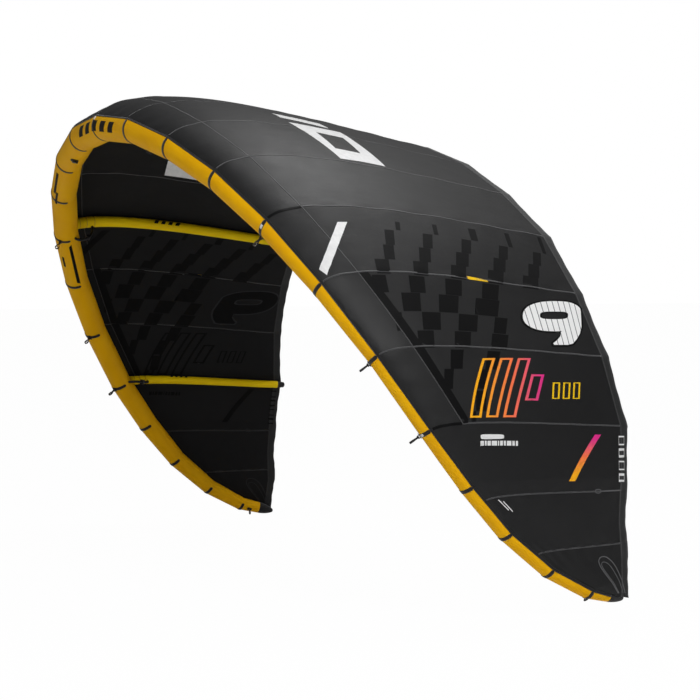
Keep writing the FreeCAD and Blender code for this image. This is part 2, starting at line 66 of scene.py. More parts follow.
def nrm(v):
    return v / np.maximum(np.linalg.norm(v, axis=-1, keepdims=True), 1e-12)


def _frames():
    ext = np.vstack([LEC[1] * [-1, 1, 1], LEC, 2 * LEC[-1] - LEC[-2]])
    t = nrm(ext[2:] - ext[:-2])
    Y = np.array([0, 1.0, 0])
    c = nrm(Y - t[:, 1:2] * t)
    n = np.cross(t, c)
    out = np.stack([-t[:, 2], 0 * t[:, 0], t[:, 0]], -1)
    n *= np.sign((n * out).sum(1))[:, None]
    return t, c, nrm(n)


FT, FC, FN = _frames()
_start = LEC + (LER + LIFT)[:, None] * (-np.cos(JOIN)[:, None] * FC + np.sin(JOIN)[:, None] * FN)
_run = np.sin(JOIN)[:, None] * FC + np.cos(JOIN)[:, None] * FN
_ch = np.linalg.norm(TEP - _start, axis=1)[:, None]
_e = (TEP - _start) / _ch
_t2 = nrm(FT * [1, 0, 1])
_up = np.stack([-_t2[:, 2], 0 * _t2[:, 0], _t2[:, 0]], -1)
_up = nrm(_up - (_up * _e).sum(1)[:, None] * _e)
_p1 = _start + _run * _ch * KF[:, None]
_p2 = TEP + (-math.cos(KRA) * _e + math.sin(KRA) * _up) * _ch * KR[:, None]
CTRL = np.stack([_start, _p1, _p2, TEP], 1)   # station, control, xyz


def _pan(s):
    k = np.clip(np.searchsorted(PANELS, s, side="right") - 1, 0, len(PANELS) - 2)
    a = np.take(PANELS, k)
    b = np.take(PANELS, k + 1)
    return k, (s - a) / (b - a)


def rib_ctrl(s):
    s = np.asarray(s, float)
    i = np.clip(s.astype(int), 0, NST - 2)
    w = (s - i)[..., None, None]
    return CTRL[i] * (1 - w) + CTRL[i + 1] * w


def sheet(s, u, billow=1.0):
    """Mid-surface of the canopy's right half; s and u may be arrays of one shape."""
    s, u = np.broadcast_arrays(np.asarray(s, float), np.asarray(u, float))
    C = rib_ctrl(s)
    v = u[..., None]
    P = C[..., 0, :] * (1 - v) ** 3 + C[..., 1, :] * 3 * v * (1 - v) ** 2 + C[..., 2, :] * 3 * v * v * (1 - v) + C[..., 3, :] * v ** 3
    if billow:
        k, w = _pan(s)
        amp = np.take(BILLOW, k) / 1000.0 * 4 * w * (1 - w) * np.sin(np.pi * np.clip(u, 0, 1)) ** 0.7
        P = P + normal(s, u)[...] * (amp * billow)[..., None]
    return P


def normal(s, u):
    ds, du = 0.02, 0.004
    a, b = np.maximum(s - ds, 0), np.minimum(s + ds, 12)
    p, q = np.maximum(u - du, 0), np.minimum(u + du, 1)
    return nrm(np.cross(sheet(b, u, 0) - sheet(a, u, 0), sheet(s, q, 0) - sheet(s, p, 0)))


# ------------------------------------------------------------------ mesh helpers
def collect(name, verts, faces, uvs=None, smooth=True, mats=None, mat_index=None):
    me = bpy.data.meshes.new(name)
    me.from_pydata([tuple(map(float, v)) for v in verts], [], [tuple(int(i) for i in f) for f in faces])
    if uvs is not None:
        layer = me.uv_layers.new(name="UVMap")
        idx = np.zeros(len(me.loops), np.int32)
        me.loops.foreach_get("vertex_index", idx)
        layer.data.foreach_set("uv", np.asarray(uvs, np.float32)[idx].ravel())
    ob = bpy.data.objects.new(name, me)
    bpy.context.scene.collection.objects.link(ob)
    for m in mats or []:
        me.materials.append(m)
    if mat_index is not None:
        me.polygons.foreach_set("material_index", np.asarray(mat_index, np.int32))
    if smooth:
        me.polygons.foreach_set("use_smooth", np.ones(len(me.polygons), bool))
    me.update()
    return ob


def grid_faces(n, m, wrap_m=False, start=0, flip=False):
    i = np.arange(n - 1)[:, None]
    j = np.arange(m if wrap_m else m - 1)[None, :]
    a = start + i * m + j
    b = start + i * m + (j + 1) % m
    c = start + (i + 1) * m + (j + 1) % m
    d = start + (i + 1) * m + j
    f = np.stack(np.broadcast_arrays(a, b, c, d), -1).reshape(-1, 4)
    return f[:, ::-1] if flip else f


def mirror_pts(P):
    return P * np.array([-1.0, 1, 1])


def arc_len(P):
    return np.concatenate([[0], np.cumsum(np.linalg.norm(np.diff(P, axis=0), axis=1))])


class Batch:
    """Gathers many small closed strips into one piece."""

    def __init__(self):
        self.v, self.f, self.uv, self.m = [], [], [], []

    def add(self, V, F, UV, mat=0):
        k = sum(len(x) for x in self.v)
        self.v.append(np.asarray(V, float))
        self.f.append([tuple(int(q) + k for q in f) for f in F])
        self.uv.append(np.asarray(UV, float))
        self.m += [mat] * len(F)

    def strip(self, top, bottom, uv, mat=0):
        """Closed thin slab from two grids of points with the same layout."""
        n, m = top.shape[:2]
        V = np.concatenate([top.reshape(-1, 3), bottom.reshape(-1, 3)])
        N = n * m
        F = [tuple(f) for f in grid_faces(n, m)] + [tuple(f) for f in grid_faces(n, m, start=N, flip=True)]
        rim = [i * m for i in range(n)] + [(n - 1) * m + j for j in range(1, m)] + [i * m + m - 1 for i in range(n - 2, -1, -1)] + [j for j in range(m - 2, 0, -1)]
        for a, b in zip(rim, rim[1:] + rim[:1]):
            F.append((a, b, b + N, a + N))
        U = np.concatenate([uv.reshape(-1, 2)] * 2)
        self.add(V, F, U, mat)

    def build(self, name, mats, smooth=True):
        V = np.concatenate(self.v)
        F = [f for part in self.f for f in part]
        ob = collect(name, V, F, np.concatenate(self.uv), smooth, mats, self.m)
        tidy(ob)
        return ob


def tidy(ob):
    bm = bmesh.new()
    bm.from_mesh(ob.data)
    bmesh.ops.dissolve_degenerate(bm, dist=1e-7, edges=bm.edges)
    bmesh.ops.recalc_face_normals(bm, faces=bm.faces)
    bm.to_mesh(ob.data)
    bm.free()
    return ob


def auto_smooth(ob, angle=40):
    bm = bmesh.new()
    bm.from_mesh(ob.data)
    lim = math.radians(angle)
    for e in bm.edges:
        if len(e.link_faces) == 2 and e.calc_face_angle(0) > lim:
            e.smooth = False
    bm.to_mesh(ob.data)
    bm.free()


# ------------------------------------------------------------------ materials
def srgb(r, g, b):
    def f(x):
        x /= 255
        return x / 12.92 if x <= 0.04045 else ((x + 0.055) / 1.055) ** 2.4
    return (f(r), f(g), f(b), 1)


class Mat:
    def __init__(self, name, color, rough=0.5, spec=0.5, sheen=0.0, sheen_rough=0.4, coat=0.0, metallic=0.0):
        self.m = bpy.data.materials.new(name)
        self.m.use_nodes = True
        self.t = self.m.node_tree
        self.b = self.t.nodes["Principled BSDF"]
        self.b.inputs["Base Color"].default_value = color
        self.b.inputs["Roughness"].default_value = rough
        self.b.inputs["Specular IOR Level"].default_value = spec
        self.b.inputs["Sheen Weight"].default_value = sheen
        self.b.inputs["Sheen Roughness"].default_value = sheen_rough
        self.b.inputs["Coat Weight"].default_value = coat
        self.b.inputs["Metallic"].default_value = metallic
        self.base, self.rough = color, rough
        self.height = None
        self._uv = None
        self._pos = None

    def n(self, kind, **props):
        q = self.t.nodes.new(kind)
        for k, v in props.items():
            if k in q.inputs:
                q.inputs[k].default_value = v
            else:
                setattr(q, k, v)
        return q

    def link(self, a, b):
        self.t.links.new(a, b)
        return self

    def uv(self):
        if self._uv is None:
            q = self.n("ShaderNodeUVMap")
            q.uv_map = "UVMap"
            self._uv = q.outputs[0]
        return self._uv

    def pos(self):
        if self._pos is None:
            self._pos = self.n("ShaderNodeTexCoord").outputs["Object"]
        return self._pos

    def math(self, op, a, b=None, clamp=False):
        q = self.n("ShaderNodeMath", operation=op, use_clamp=clamp)
        for k, x in enumerate([a, b]):
            if x is None:
                continue
            if isinstance(x, (int, float)):
                q.inputs[k].default_value = x
            else:
                self.link(x, q.inputs[k])
        return q.outputs[0]

    def split(self, vec):
        q = self.n("ShaderNodeSeparateXYZ")
        self.link(vec, q.inputs[0])
        return q.outputs

    def noise(self, scale, detail=3, rough=0.5, vec=None, stretch=None):
        q = self.n("ShaderNodeTexNoise")
        q.inputs["Scale"].default_value = scale
        q.inputs["Detail"].default_value = detail
        q.inputs["Roughness"].default_value = rough
        v = vec or self.pos()
        if stretch:
            mp = self.n("ShaderNodeMapping")
            mp.inputs["Scale"].default_value = stretch
            self.link(v, mp.inputs["Vector"])
            v = mp.outputs[0]
        self.link(v, q.inputs["Vector"])
        return q.outputs[0]

    def remap(self, x, a, b, c, d):
        q = self.n("ShaderNodeMapRange")
        self.link(x, q.inputs[0])
        for k, v in zip(("From Min", "From Max", "To Min", "To Max"), (a, b, c, d)):
            q.inputs[k].default_value = v
        return q.outputs[0]

    def weave(self, pitch, depth=1.0):
        """Plain weave from the metric UVs: crossing threads."""
        s = self.split(self.uv())
        k = 2 * math.pi / pitch
        a = self.math("SINE", self.math("MULTIPLY", s[0], k))
        b = self.math("SINE", self.math("MULTIPLY", s[1], k))
        w = self.math("MULTIPLY", a, b)
        return self.math("MULTIPLY", self.math("ADD", self.math("MULTIPLY", w, 0.5), 0.5), depth)

    def ripstop(self, pitch, width):
        """Raised grid of heavier threads."""
        s = self.split(self.uv())
        out = None
        for q in (s[0], s[1]):
            f = self.math("FRACT", self.math("DIVIDE", q, pitch))
            d = self.math("ABSOLUTE", self.math("SUBTRACT", f, 0.5))
            line = self.math("LESS_THAN", d, width / pitch / 2)
            out = line if out is None else self.math("MAXIMUM", out, line)
        return out

    def add_height(self, x, k):
        x = self.math("MULTIPLY", x, k)
        self.height = x if self.height is None else self.math("ADD", self.height, x)

    def vary(self, factor, a, b):
        """Base colour between two colours."""
        q = self.n("ShaderNodeMix", data_type="RGBA")
        self.link(factor, q.inputs["Factor"])
        q.inputs["A"].default_value = a
        q.inputs["B"].default_value = b
        self.color_out = q.outputs["Result"]
        self.link(self.color_out, self.b.inputs["Base Color"])
        return self

    def over(self, factor, color):
        """Paints a further colour over the base colour."""
        q = self.n("ShaderNodeMix", data_type="RGBA")
        self.link(factor, q.inputs["Factor"])
        if getattr(self, "color_out", None) is None:
            q.inputs["A"].default_value = self.base
        else:
            self.link(self.color_out, q.inputs["A"])
        q.inputs["B"].default_value = color
        self.color_out = q.outputs["Result"]
        self.link(self.color_out, self.b.inputs["Base Color"])
        return self

    def rough_from(self, x, lo, hi):
        self.link(self.remap(x, 0, 1, lo, hi), self.b.inputs["Roughness"])
        return self

    def done(self, strength=0.4, dist=0.001):
        if self.height is not None:
            q = self.n("ShaderNodeBump")
            q.inputs["Strength"].default_value = strength
            q.inputs["Distance"].default_value = dist
            self.link(self.height, q.inputs["Height"])
            self.link(q.outputs[0], self.b.inputs["Normal"])
        return self.m


def canopy_material(name, color, dark, rough, spec, sheen):
    m = Mat(name, color, rough, spec, sheen, 0.45)
    big = m.noise(2.2, 3, 0.55)
    m.vary(m.remap(big, 0.3, 0.7, 0, 1), dark, color)
    m.rough_from(m.noise(9, 4, 0.6), rough - 0.05, rough + 0.07)
    m.add_height(m.ripstop(0.006, 0.0009), 0.25)
    m.add_height(m.weave(0.0016), 0.12)
    m.add_height(m.noise(38, 3, 0.55), 1.3)
    m.add_height(m.noise(11, 2, 0.5, stretch=(1.0, 0.35, 1.0)), 5.0)
    return m.done(0.35, 0.0012)


def yellow_material(name, color, dark, rough=0.42):
    m = Mat(name, color, rough, 0.12, 0.0, 0.35)
    m.vary(m.remap(m.noise(6, 4, 0.6), 0.3, 0.75, 0, 1), dark, color)
    m.rough_from(m.noise(22, 3, 0.5), rough - 0.06, rough + 0.1)
    m.add_height(m.weave(0.0018), 0.35)
    m.add_height(m.ripstop(0.009, 0.0012), 0.2)
    m.add_height(m.noise(60, 3, 0.6), 1.2)
    m.add_height(m.noise(14, 2, 0.5), 3.0)
    return m.done(0.4, 0.001)


def tape_material(name, color, thread=None, rough=0.6, rows=(), width=0.02, pitch=0.0045):
    """Woven tape with rows of stitching at the given places across its width."""
    m = Mat(name, color, rough, 0.35, 0.25, 0.5)
    s = m.split(m.uv())
    m.vary(m.remap(m.noise(30, 3, 0.6), 0.3, 0.7, 0, 1), tuple(c * 0.7 for c in color[:3]) + (1,), color)
    m.add_height(m.weave(0.0014), 0.35)
    m.add_height(m.noise(90, 2, 0.5), 0.6)
    for at in rows:
        d = m.math("ABSOLUTE", m.math("SUBTRACT", s[1], at))
        near = m.math("LESS_THAN", d, 0.0009)
        dash = m.math("LESS_THAN", m.math("FRACT", m.math("DIVIDE", s[0], pitch)), 0.72)
        st = m.math("MULTIPLY", near, dash)
        if thread:
            m.over(st, thread)
        m.add_height(st, 1.0)
    return m.done(0.5, 0.0008)


def plain_material(name, color, rough, spec=0.5, grain=400, bump=0.25, metallic=0.0, coat=0.0):
    m = Mat(name, color, rough, spec, 0, 0.4, coat, metallic)
    m.vary(m.remap(m.noise(45, 4, 0.6), 0.3, 0.7, 0, 1), tuple(c * 0.75 for c in color[:3]) + (1,), color)
    m.rough_from(m.noise(70, 3, 0.5), max(rough - 0.08, 0.02), rough + 0.1)
    m.add_height(m.noise(grain, 3, 0.6), 1.0)
    return m.done(bump, 0.0004)


def print_material(name, color, rough=0.45, spec=0.4, gradient=None):
    """Ink on cloth, with a fine noise bump."""
    m = Mat(name, color, rough, spec, 0.05, 0.4)
    if gradient:
        s = m.split(m.uv())
        r = m.n("ShaderNodeValToRGB")
        r.color_ramp.elements[0].color, r.color_ramp.elements[1].color = gradient[0], gradient[-1]
        r.color_ramp.elements[0].position, r.color_ramp.elements[1].position = 0.15, 0.9
        for k, c in enumerate(gradient[1:-1]):
            e = r.color_ramp.elements.new(0.15 + 0.75 * (k + 1) / (len(gradient) - 1))
            e.color = c
        m.link(s[0], r.inputs[0])
        m.color_out = r.outputs[0]
        m.link(m.color_out, m.b.inputs["Base Color"])
        m.over(m.remap(m.noise(40, 3, 0.6), 0.45, 0.8, 0, 0.12), (0.02, 0.02, 0.02, 1))
    else:
        dark = tuple(c * 0.86 for c in color[:3]) + (1,)
        m.vary(m.remap(m.noise(40, 3, 0.6), 0.3, 0.7, 0, 1), dark, color)
    m.rough_from(m.noise(25, 3, 0.6), rough - 0.05, rough + 0.08)
    m.add_height(m.noise(150, 3, 0.6), 0.8)
    return m.done(0.25, 0.0008)


BLACK_OUT = canopy_material("canopy_outer_cloth", srgb(21, 21, 22), srgb(17, 17, 18), 0.50, 0.34, 0.0)
BLACK_IN = canopy_material("canopy_inner_cloth", srgb(27, 27, 28), srgb(23, 23, 24), 0.62, 0.12, 0.03)
YELLOW = yellow_material("casing_cloth", srgb(252, 190, 0), srgb(244, 178, 0), 0.5)
YELLOW_STRUT = yellow_material("strut_cloth", srgb(255, 222, 10), srgb(255, 214, 6), 0.42)
THREAD = srgb(92, 92, 94)
TAPE = tape_material("edge_tape", srgb(4, 4, 7), srgb(30, 30, 36), 0.7, (0.002, 0.0075))
HEM = tape_material("hem_tape", srgb(20, 20, 21), THREAD, 0.5, (0.006, 0.038))
HEM_IN = tape_material("hem_tape_inner", srgb(23, 23, 24), srgb(48, 48, 50), 0.6, (0.006, 0.038))
SEAM = tape_material("seam_tape", srgb(44, 44, 46), srgb(84, 84, 86), 0.5, (0.0015, 0.0055))
SEAM_IN = tape_material("seam_tape_inner", srgb(21, 21, 22), srgb(30, 30, 32), 0.6, (0.0015, 0.0065))
BAND = tape_material("band_tape", srgb(4, 4, 8), srgb(24, 24, 30), 0.65, (0.003, 0.014))
WEB = tape_material("loop_webbing", srgb(14, 14, 16), srgb(45, 45, 48), 0.65, (0.0015, 0.0065))
PIPING = plain_material("piping", srgb(26, 26, 32), 0.35, 0.5, 300, 0.3)
PLASTIC = plain_material("moulded_plastic", srgb(24, 24, 26), 0.42, 0.5, 500, 0.25)
RUBBER = plain_material("hose_rubber", srgb(20, 20, 22), 0.5, 0.45, 350, 0.2)
STEEL = plain_material("ring_steel", srgb(176, 178, 182), 0.24, 0.5, 250, 0.08, 1.0)
FILM = plain_material("bladder_film", srgb(205, 205, 198), 0.25, 0.5, 120, 0.3)
WHITE = print_material("print_white", srgb(238, 238, 238))
INK = print_material("print_black", srgb(5, 5, 6), 0.55, 0.12)
INK_IN = print_material("print_black_inner", srgb(9, 9, 10), 0.65, 0.1)
INK_YELLOW = print_material("print_yellow", srgb(255, 206, 0))
INK_GREY = print_material("print_grey", srgb(96, 96, 98))
FADE = print_material("print_fade", srgb(255, 160, 20), gradient=[srgb(255, 176, 0), srgb(255, 120, 70), srgb(226, 40, 138)])

# ------------------------------------------------------------------ leading-edge tube
RING = 64
SEG = 14


def tube_ring(i, ang, extra=0.0):
    a = ang[:, None] if np.ndim(ang) else ang
    return LEC[i] + (LER[i] + extra) * (-np.cos(a) * FC[i] + np.sin(a) * FN[i])


def tube_point(s, ang, lift=0.0):
    """Any place on the tube: station, angle above the nose, height above the skin."""
    s = np.asarray(s, float)
    ang = np.asarray(ang, float)
    i = np.clip(s.astype(int), 0, NST - 2)
    w = (s - i)[..., None]
    a = ang[..., None]

    def at(k):
        return LEC[k] + (LER[k][..., None] + lift) * (-np.cos(a) * FC[k] + np.sin(a) * FN[k])
    return at(i) * (1 - w) + at(i + 1) * w


def tube_bulge(s, ang):
    """Inflated shape between seams, with small gathers where the casing is on the inside of the bend."""
    i = np.clip(np.asarray(s).astype(int), 0, NST - 2)
    w = s - i
    R = np.take(LER, i)
    seg = np.take(np.linalg.norm(np.diff(LEC, axis=0), axis=1), i)
    b = R * 0.011 * (4 * w * (1 - w)) ** 0.75
    inner = np.clip(-np.sin(ang) * 0.9 + 0.25, 0, 1) ** 1.5
    d = np.minimum(w, 1 - w) * seg
    gather = np.cos(ang * 21 + i * 1.7) * np.exp(-d / 0.03) * (1 - np.exp(-d / 0.006)) * 0.0013 * inner
    soft = np.sin(ang * 7 + i * 2.1) * np.exp(-d / 0.07) * (1 - np.exp(-d / 0.02)) * 0.0007
    return b + gather + soft


def tube_mesh():
    ss = []
    for i in range(NST - 1):
        w = (1 - np.cos(np.linspace(0, math.pi, SEG + 1))) / 2
        w = 0.35 * np.linspace(0, 1, SEG + 1) + 0.65 * w
        ss += list(i + w[:-1])
    ss.append(NST - 1.0)
    ss = np.array(ss)
    ang = np.linspace(0, 2 * math.pi, RING, endpoint=False)
    S, A = np.meshgrid(ss, ang, indexing="ij")
    P = tube_point(S, A)
    C = tube_point(S, A, 0.01)
    out = nrm(C - P)
    P = P + out * tube_bulge(S, A)[..., None]
    run = np.interp(ss, np.arange(NST), arc_len(LEC))
    left = mirror_pts(P[:0:-1])
    V = np.concatenate([left, P])
    n = len(V)
    U = np.concatenate([-run[:0:-1], run])
    # one more column so that the metric UVs don't wrap
    V = np.concatenate([V, V[:, :1]], 1)
    uv = np.stack(np.broadcast_arrays(U[:, None], np.linspace(0, 2 * math.pi, RING + 1)[None] * 0.06), -1)
    ob = collect("leading_edge_casing", V.reshape(-1, 3), grid_faces(n, RING + 1), uv.reshape(-1, 2), True, [YELLOW])
    bm = bmesh.new()
    bm.from_mesh(ob.data)
    bmesh.ops.remove_doubles(bm, verts=bm.verts, dist=1e-6)
    ends = [e for e in bm.edges if e.is_boundary]
    bmesh.ops.holes_fill(bm, edges=ends, sides=0)
    bmesh.ops.recalc_face_normals(bm, faces=bm.faces)
    bm.to_mesh(ob.data)
    bm.free()
    return ob


tube = tube_mesh()
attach(tube, "kite")
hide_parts("leading_edge_casing_left", "leading_edge_casing_right")


def tape_on_tube(batch, s, a0, a1, width_half, lift0, lift1, mat=0, count=40, side=1, rounded=True):
    """Strip round the tube at station s, from angle a0 to a1, with rounded ends."""
    i = min(int(s), NST - 2)
    seg = np.linalg.norm(LEC[i + 1] - LEC[i])
    R = float(np.interp(s, np.arange(NST), LER))
    ang = np.linspace(a0, a1, count)
    arc = (ang - a0) * R
    total = arc[-1]
    half = np.full(count, width_half)
    if rounded:
        d = np.minimum(arc, total - arc)
        half = width_half * np.sqrt(np.clip(1 - (1 - np.clip(d / width_half, 0, 1)) ** 2, 0.02, 1))
    cols = 5
    k = np.linspace(-1, 1, cols)
    off = half[:, None] * k[None] / seg
    S = s + off
    below = S < i
    if s == int(s) and i > 0:
        prev = np.linalg.norm(LEC[i] - LEC[i - 1])
        S = np.where(off < 0, s + off * seg / prev, S)
    if s == 0:
        # across the centre seam the other side is the mirror image
        neg = off < 0
        A = np.repeat(ang[:, None], cols, 1)
        top = tube_point(np.abs(off), A, lift1)
        bot = tube_point(np.abs(off), A, lift0)
        top[neg], bot[neg] = mirror_pts(top[neg]), mirror_pts(bot[neg])
    else:
        S = np.clip(S, 0, 12)
        A = np.repeat(ang[:, None], cols, 1)
        top, bot = tube_point(S, A, lift1), tube_point(S, A, lift0)
    uv = np.stack([np.repeat(arc[:, None], cols, 1), (k[None] * half[:, None] + width_half)], -1)
    if side < 0:
        top, bot = mirror_pts(top), mirror_pts(bot)
    batch.strip(top, bot, uv, mat)


bands = Batch()
for i in range(0, 12):
    a1 = JOIN[i] - 0.0095 / LER[i] - math.radians(0.6)
    a0 = math.radians(-100 if i < 8 else -88)
    for side in ((1,) if i == 0 else (1, -1)):
        tape_on_tube(bands, float(i), a0, a1, 0.0085 if i else 0.006, 0.0003, 0.0018, side=side)
band_ob = bands.build("seam_band_tapes", [BAND])
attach(band_ob, "kite")
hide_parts("seam_bands")

# black tape where the canopy joins the tube, and the rolled piping at its rear edge
join = Batch()
ss = np.concatenate([np.linspace(i, i + 1, 11)[:-1] for i in range(12)] + [[12.0]])
joinS = np.interp(ss, np.arange(NST), JOIN)
R_s = np.interp(ss, np.arange(NST), LER)
run_s = np.interp(ss, np.arange(NST), arc_len(LEC))
for side in (1, -1):
    cols = 7
    k = np.linspace(0, 1, cols)
    a1 = joinS - 0.012 / 1 * 0 + math.radians(0.8)
    a0 = joinS - 0.0095 / R_s
    A = a0[:, None] * (1 - k) + a1[:, None] * k
    S = np.repeat(ss[:, None], cols, 1)
    lift = 0.0013 + 0.0009 * np.sin(math.pi * k)[None] + 0 * S
    def at(lift_):
        i = np.clip(S.astype(int), 0, NST - 2)
        w = (S - i)[..., None]
        def q(kk):
            return LEC[kk] + (LER[kk][..., None] + lift_[..., None]) * (-np.cos(A[..., None]) * FC[kk] + np.sin(A[..., None]) * FN[kk])
        return q(i) * (1 - w) + q(i + 1) * w
    top, bot = at(lift), at(0 * lift + 0.0002)
    uv = np.stack(np.broadcast_arrays(run_s[:, None], k[None] * 0.0095), -1)
    if side < 0:
        top, bot = mirror_pts(top), mirror_pts(bot)
    join.strip(top, bot, uv, 0)
    # piping bead
    c = tube_point(ss, a0 - 0.0, 0.0012)
    o = nrm(tube_point(ss, a0, 0.01) - tube_point(ss, a0, 0.0))
    t = nrm(np.gradient(c, axis=0))
    x = nrm(np.cross(t, o))
    th = np.linspace(0, 2 * math.pi, 10, endpoint=False)
    ringp = c[:, None] + 0.0019 * (np.cos(th)[None, :, None] * x[:, None] + np.sin(th)[None, :, None] * o[:, None])
    if side < 0:
        ringp = mirror_pts(ringp)
    n = len(ss)
    F = [tuple(f) for f in grid_faces(n, 10, True)] + [tuple(range(10)), tuple(range((n - 1) * 10, n * 10))[::-1]]
    UVp = np.stack(np.broadcast_arrays(run_s[:, None], th[None] * 0.002), -1).reshape(-1, 2)
    join.add(ringp.reshape(-1, 3), F, UVp, 1)
join_ob = join.build("canopy_join_tape", [TAPE, PIPING])
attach(join_ob, "kite")
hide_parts("join_tape_left", "join_tape_right")

# ------------------------------------------------------------------ canopy sheet
HALF = 0.0006


def fold_field(s, u):
    """Small tension folds in the cloth: along the ribs near the seams and fanning from the tube joints."""
    k, w = _pan(s)
    h = np.sin(k * 12.9898 + 4.1) * 43758.5453
    ph = (h - np.floor(h)) * 6.28
    edge = np.exp(-np.minimum(w, 1 - w) / 0.10)
    a = 0.0016 * edge * np.sin(u * 46 + ph + 3 * w) * np.clip(u / 0.12, 0, 1) * np.clip((1 - u) / 0.05, 0, 1)
    b = 0.0022 * np.exp(-u / 0.10) * np.sin(w * 2 * math.pi * 3 + ph) * np.clip(u / 0.02, 0, 1) * np.sin(math.pi * w)
    c = 0.0018 * np.sin(math.pi * w) * np.sin(u * 9 + ph * 2) * np.clip((1 - u) / 0.1, 0, 1) * np.clip(u / 0.15, 0, 1)
    return a + b + c


def skin(s, u, lift):
    """Point at a height above the canopy's mid-surface (positive outwards), right half."""
    P = sheet(s, u)
    N = normal(s, u)
    return P + N * (fold_field(s, u) + lift)[..., None] if np.ndim(lift) else P + N * (fold_field(s, u)[..., None] + lift)


def u_of_te(s, dist):
    uu = np.linspace(0.55, 1, 400)
    P = sheet(np.full(400, float(s)), uu, 0)
    back = arc_len(P[::-1])[::-1]
    return float(np.interp(-dist, -back, uu))


HEM_W = 0.045
st_tab = np.linspace(0, 12, 241)
te_tab = np.array([u_of_te(a, HEM_W) for a in st_tab])
rib_tab = np.array([arc_len(sheet(np.full(60, float(a)), np.linspace(0, 1, 60), 0))[-1] for a in st_tab])


def hem_u(s):
    return np.interp(s, st_tab, te_tab)


def rib_len(s):
    return np.interp(s, st_tab, rib_tab)


sp = []
for a, b in zip(PANELS[:-1], PANELS[1:]):
    stops = [a] + [q for q in range(int(a) + 1, 12) if a < q < b] + [b]
    for p, q in zip(stops[:-1], stops[1:]):
        cnt = max(4, int(round((q - p) * 20)))
        sp += list(np.linspace(p, q, cnt + 1)[:-1])
sp.append(12.0)
sp = np.array(sp)
NUU = 96
uu = np.linspace(0, 1, NUU) ** 1.15


def canopy_mesh():
    S = np.repeat(sp[:, None], NUU, 1)
    U = uu[None] * hem_u(sp)[:, None]
    out, inn = skin(S, U, HALF), skin(S, U, -HALF)
    x = np.interp(sp, np.arange(NST), arc_len(LEC))
    uv = np.stack([np.repeat(x[:, None], NUU, 1), U * rib_len(sp)[:, None]], -1)
    O = np.concatenate([mirror_pts(out[:0:-1]), out])
    I = np.concatenate([mirror_pts(inn[:0:-1]), inn])
    uvf = np.concatenate([uv[:0:-1] * [-1, 1], uv])
    n, m = O.shape[:2]
    N = n * m
    V = np.concatenate([O.reshape(-1, 3), I.reshape(-1, 3)])
    F1 = grid_faces(n, m)
    F2 = grid_faces(n, m, start=N, flip=True)
    rim = [i * m for i in range(n)] + [(n - 1) * m + j for j in range(1, m)] + [i * m + m - 1 for i in range(n - 2, -1, -1)] + [j for j in range(m - 2, 0, -1)]
    F3 = [(a, b, b + N, a + N) for a, b in zip(rim, rim[1:] + rim[:1])]
    faces = list(map(tuple, F1)) + list(map(tuple, F2)) + F3
    mi = [0] * len(F1) + [1] * len(F2) + [0] * len(F3)
    ob = collect("canopy", V, faces, np.concatenate([uvf.reshape(-1, 2)] * 2), True, [BLACK_OUT, BLACK_IN], mi)
    tidy(ob)
    auto_smooth(ob, 50)
    return ob


canopy = canopy_mesh()
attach(canopy, "kite")
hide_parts(*[n for n in NODES if n.startswith("canopy_panel")])


# ------------------------------------------------------------------ trailing-edge hem
def te_wave(s):
    k, w = _pan(s)
    return -0.006 * (4 * w * (1 - w)) - 0.0012 * np.sin(w * 19 + k)


hem = Batch()
for side in (1, -1):
    cols = 9
    k = np.linspace(0, 1, cols)
    U0 = hem_u(sp) - 0.0006
    U = U0[:, None] * (1 - k) + k[None]
    S = np.repeat(sp[:, None], cols, 1)
    P = skin(S, U, 0.0)
    N = normal(S, U)
    chord = nrm(P[:, -1] - P[:, -3])
    P = P + chord[:, None] * (te_wave(sp)[:, None] * k[None])[..., None]
    thick = (0.0011 + 0.0007 * np.exp(-((1 - k) / 0.12) ** 2))[None, :, None]
    top, bot = P + N * thick, P - N * thick
    x = np.interp(sp, np.arange(NST), arc_len(TEP))
    uv = np.stack(np.broadcast_arrays(x[:, None], k[None] * HEM_W), -1)
    if side < 0:
        top, bot = mirror_pts(top), mirror_pts(bot)
    n0 = len(hem.m)
    hem.strip(top, bot, uv, 0)
    nf = (len(sp) - 1) * (cols - 1)
    hem.m[n0 + nf:n0 + 2 * nf] = [1] * nf
hem_ob = hem.build("trailing_edge_hem", [HEM, HEM_IN])
auto_smooth(hem_ob, 50)
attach(hem_ob, "kite")
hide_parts("trailing_hem_left", "trailing_hem_right")


# ------------------------------------------------------------------ sewn seams across and along the canopy
def path_strip(batch, S, U, width, lift0, lift1, mat=0, side=1, cols=3):
    """Thin strip on the canopy along a path of (s, u), with a metric width; lifts are from the mid-surface."""
    S, U = np.asarray(S, float), np.asarray(U, float)
    P = skin(S, U, 0.0)
    N = normal(S, U)
    T = nrm(np.gradient(P, axis=0))
    B = nrm(np.cross(N, T))
    k = np.linspace(-0.5, 0.5, cols)
    run = arc_len(P)
    body = P[:, None] + B[:, None] * (k * width)[None, :, None]
    top = body + N[:, None] * lift1
    bot = body + N[:, None] * lift0
    uv = np.stack(np.broadcast_arrays(run[:, None], (k[None] + 0.5) * width), -1)
    if side < 0:
        top, bot = mirror_pts(top), mirror_pts(bot)
    batch.strip(top, bot, uv, mat)


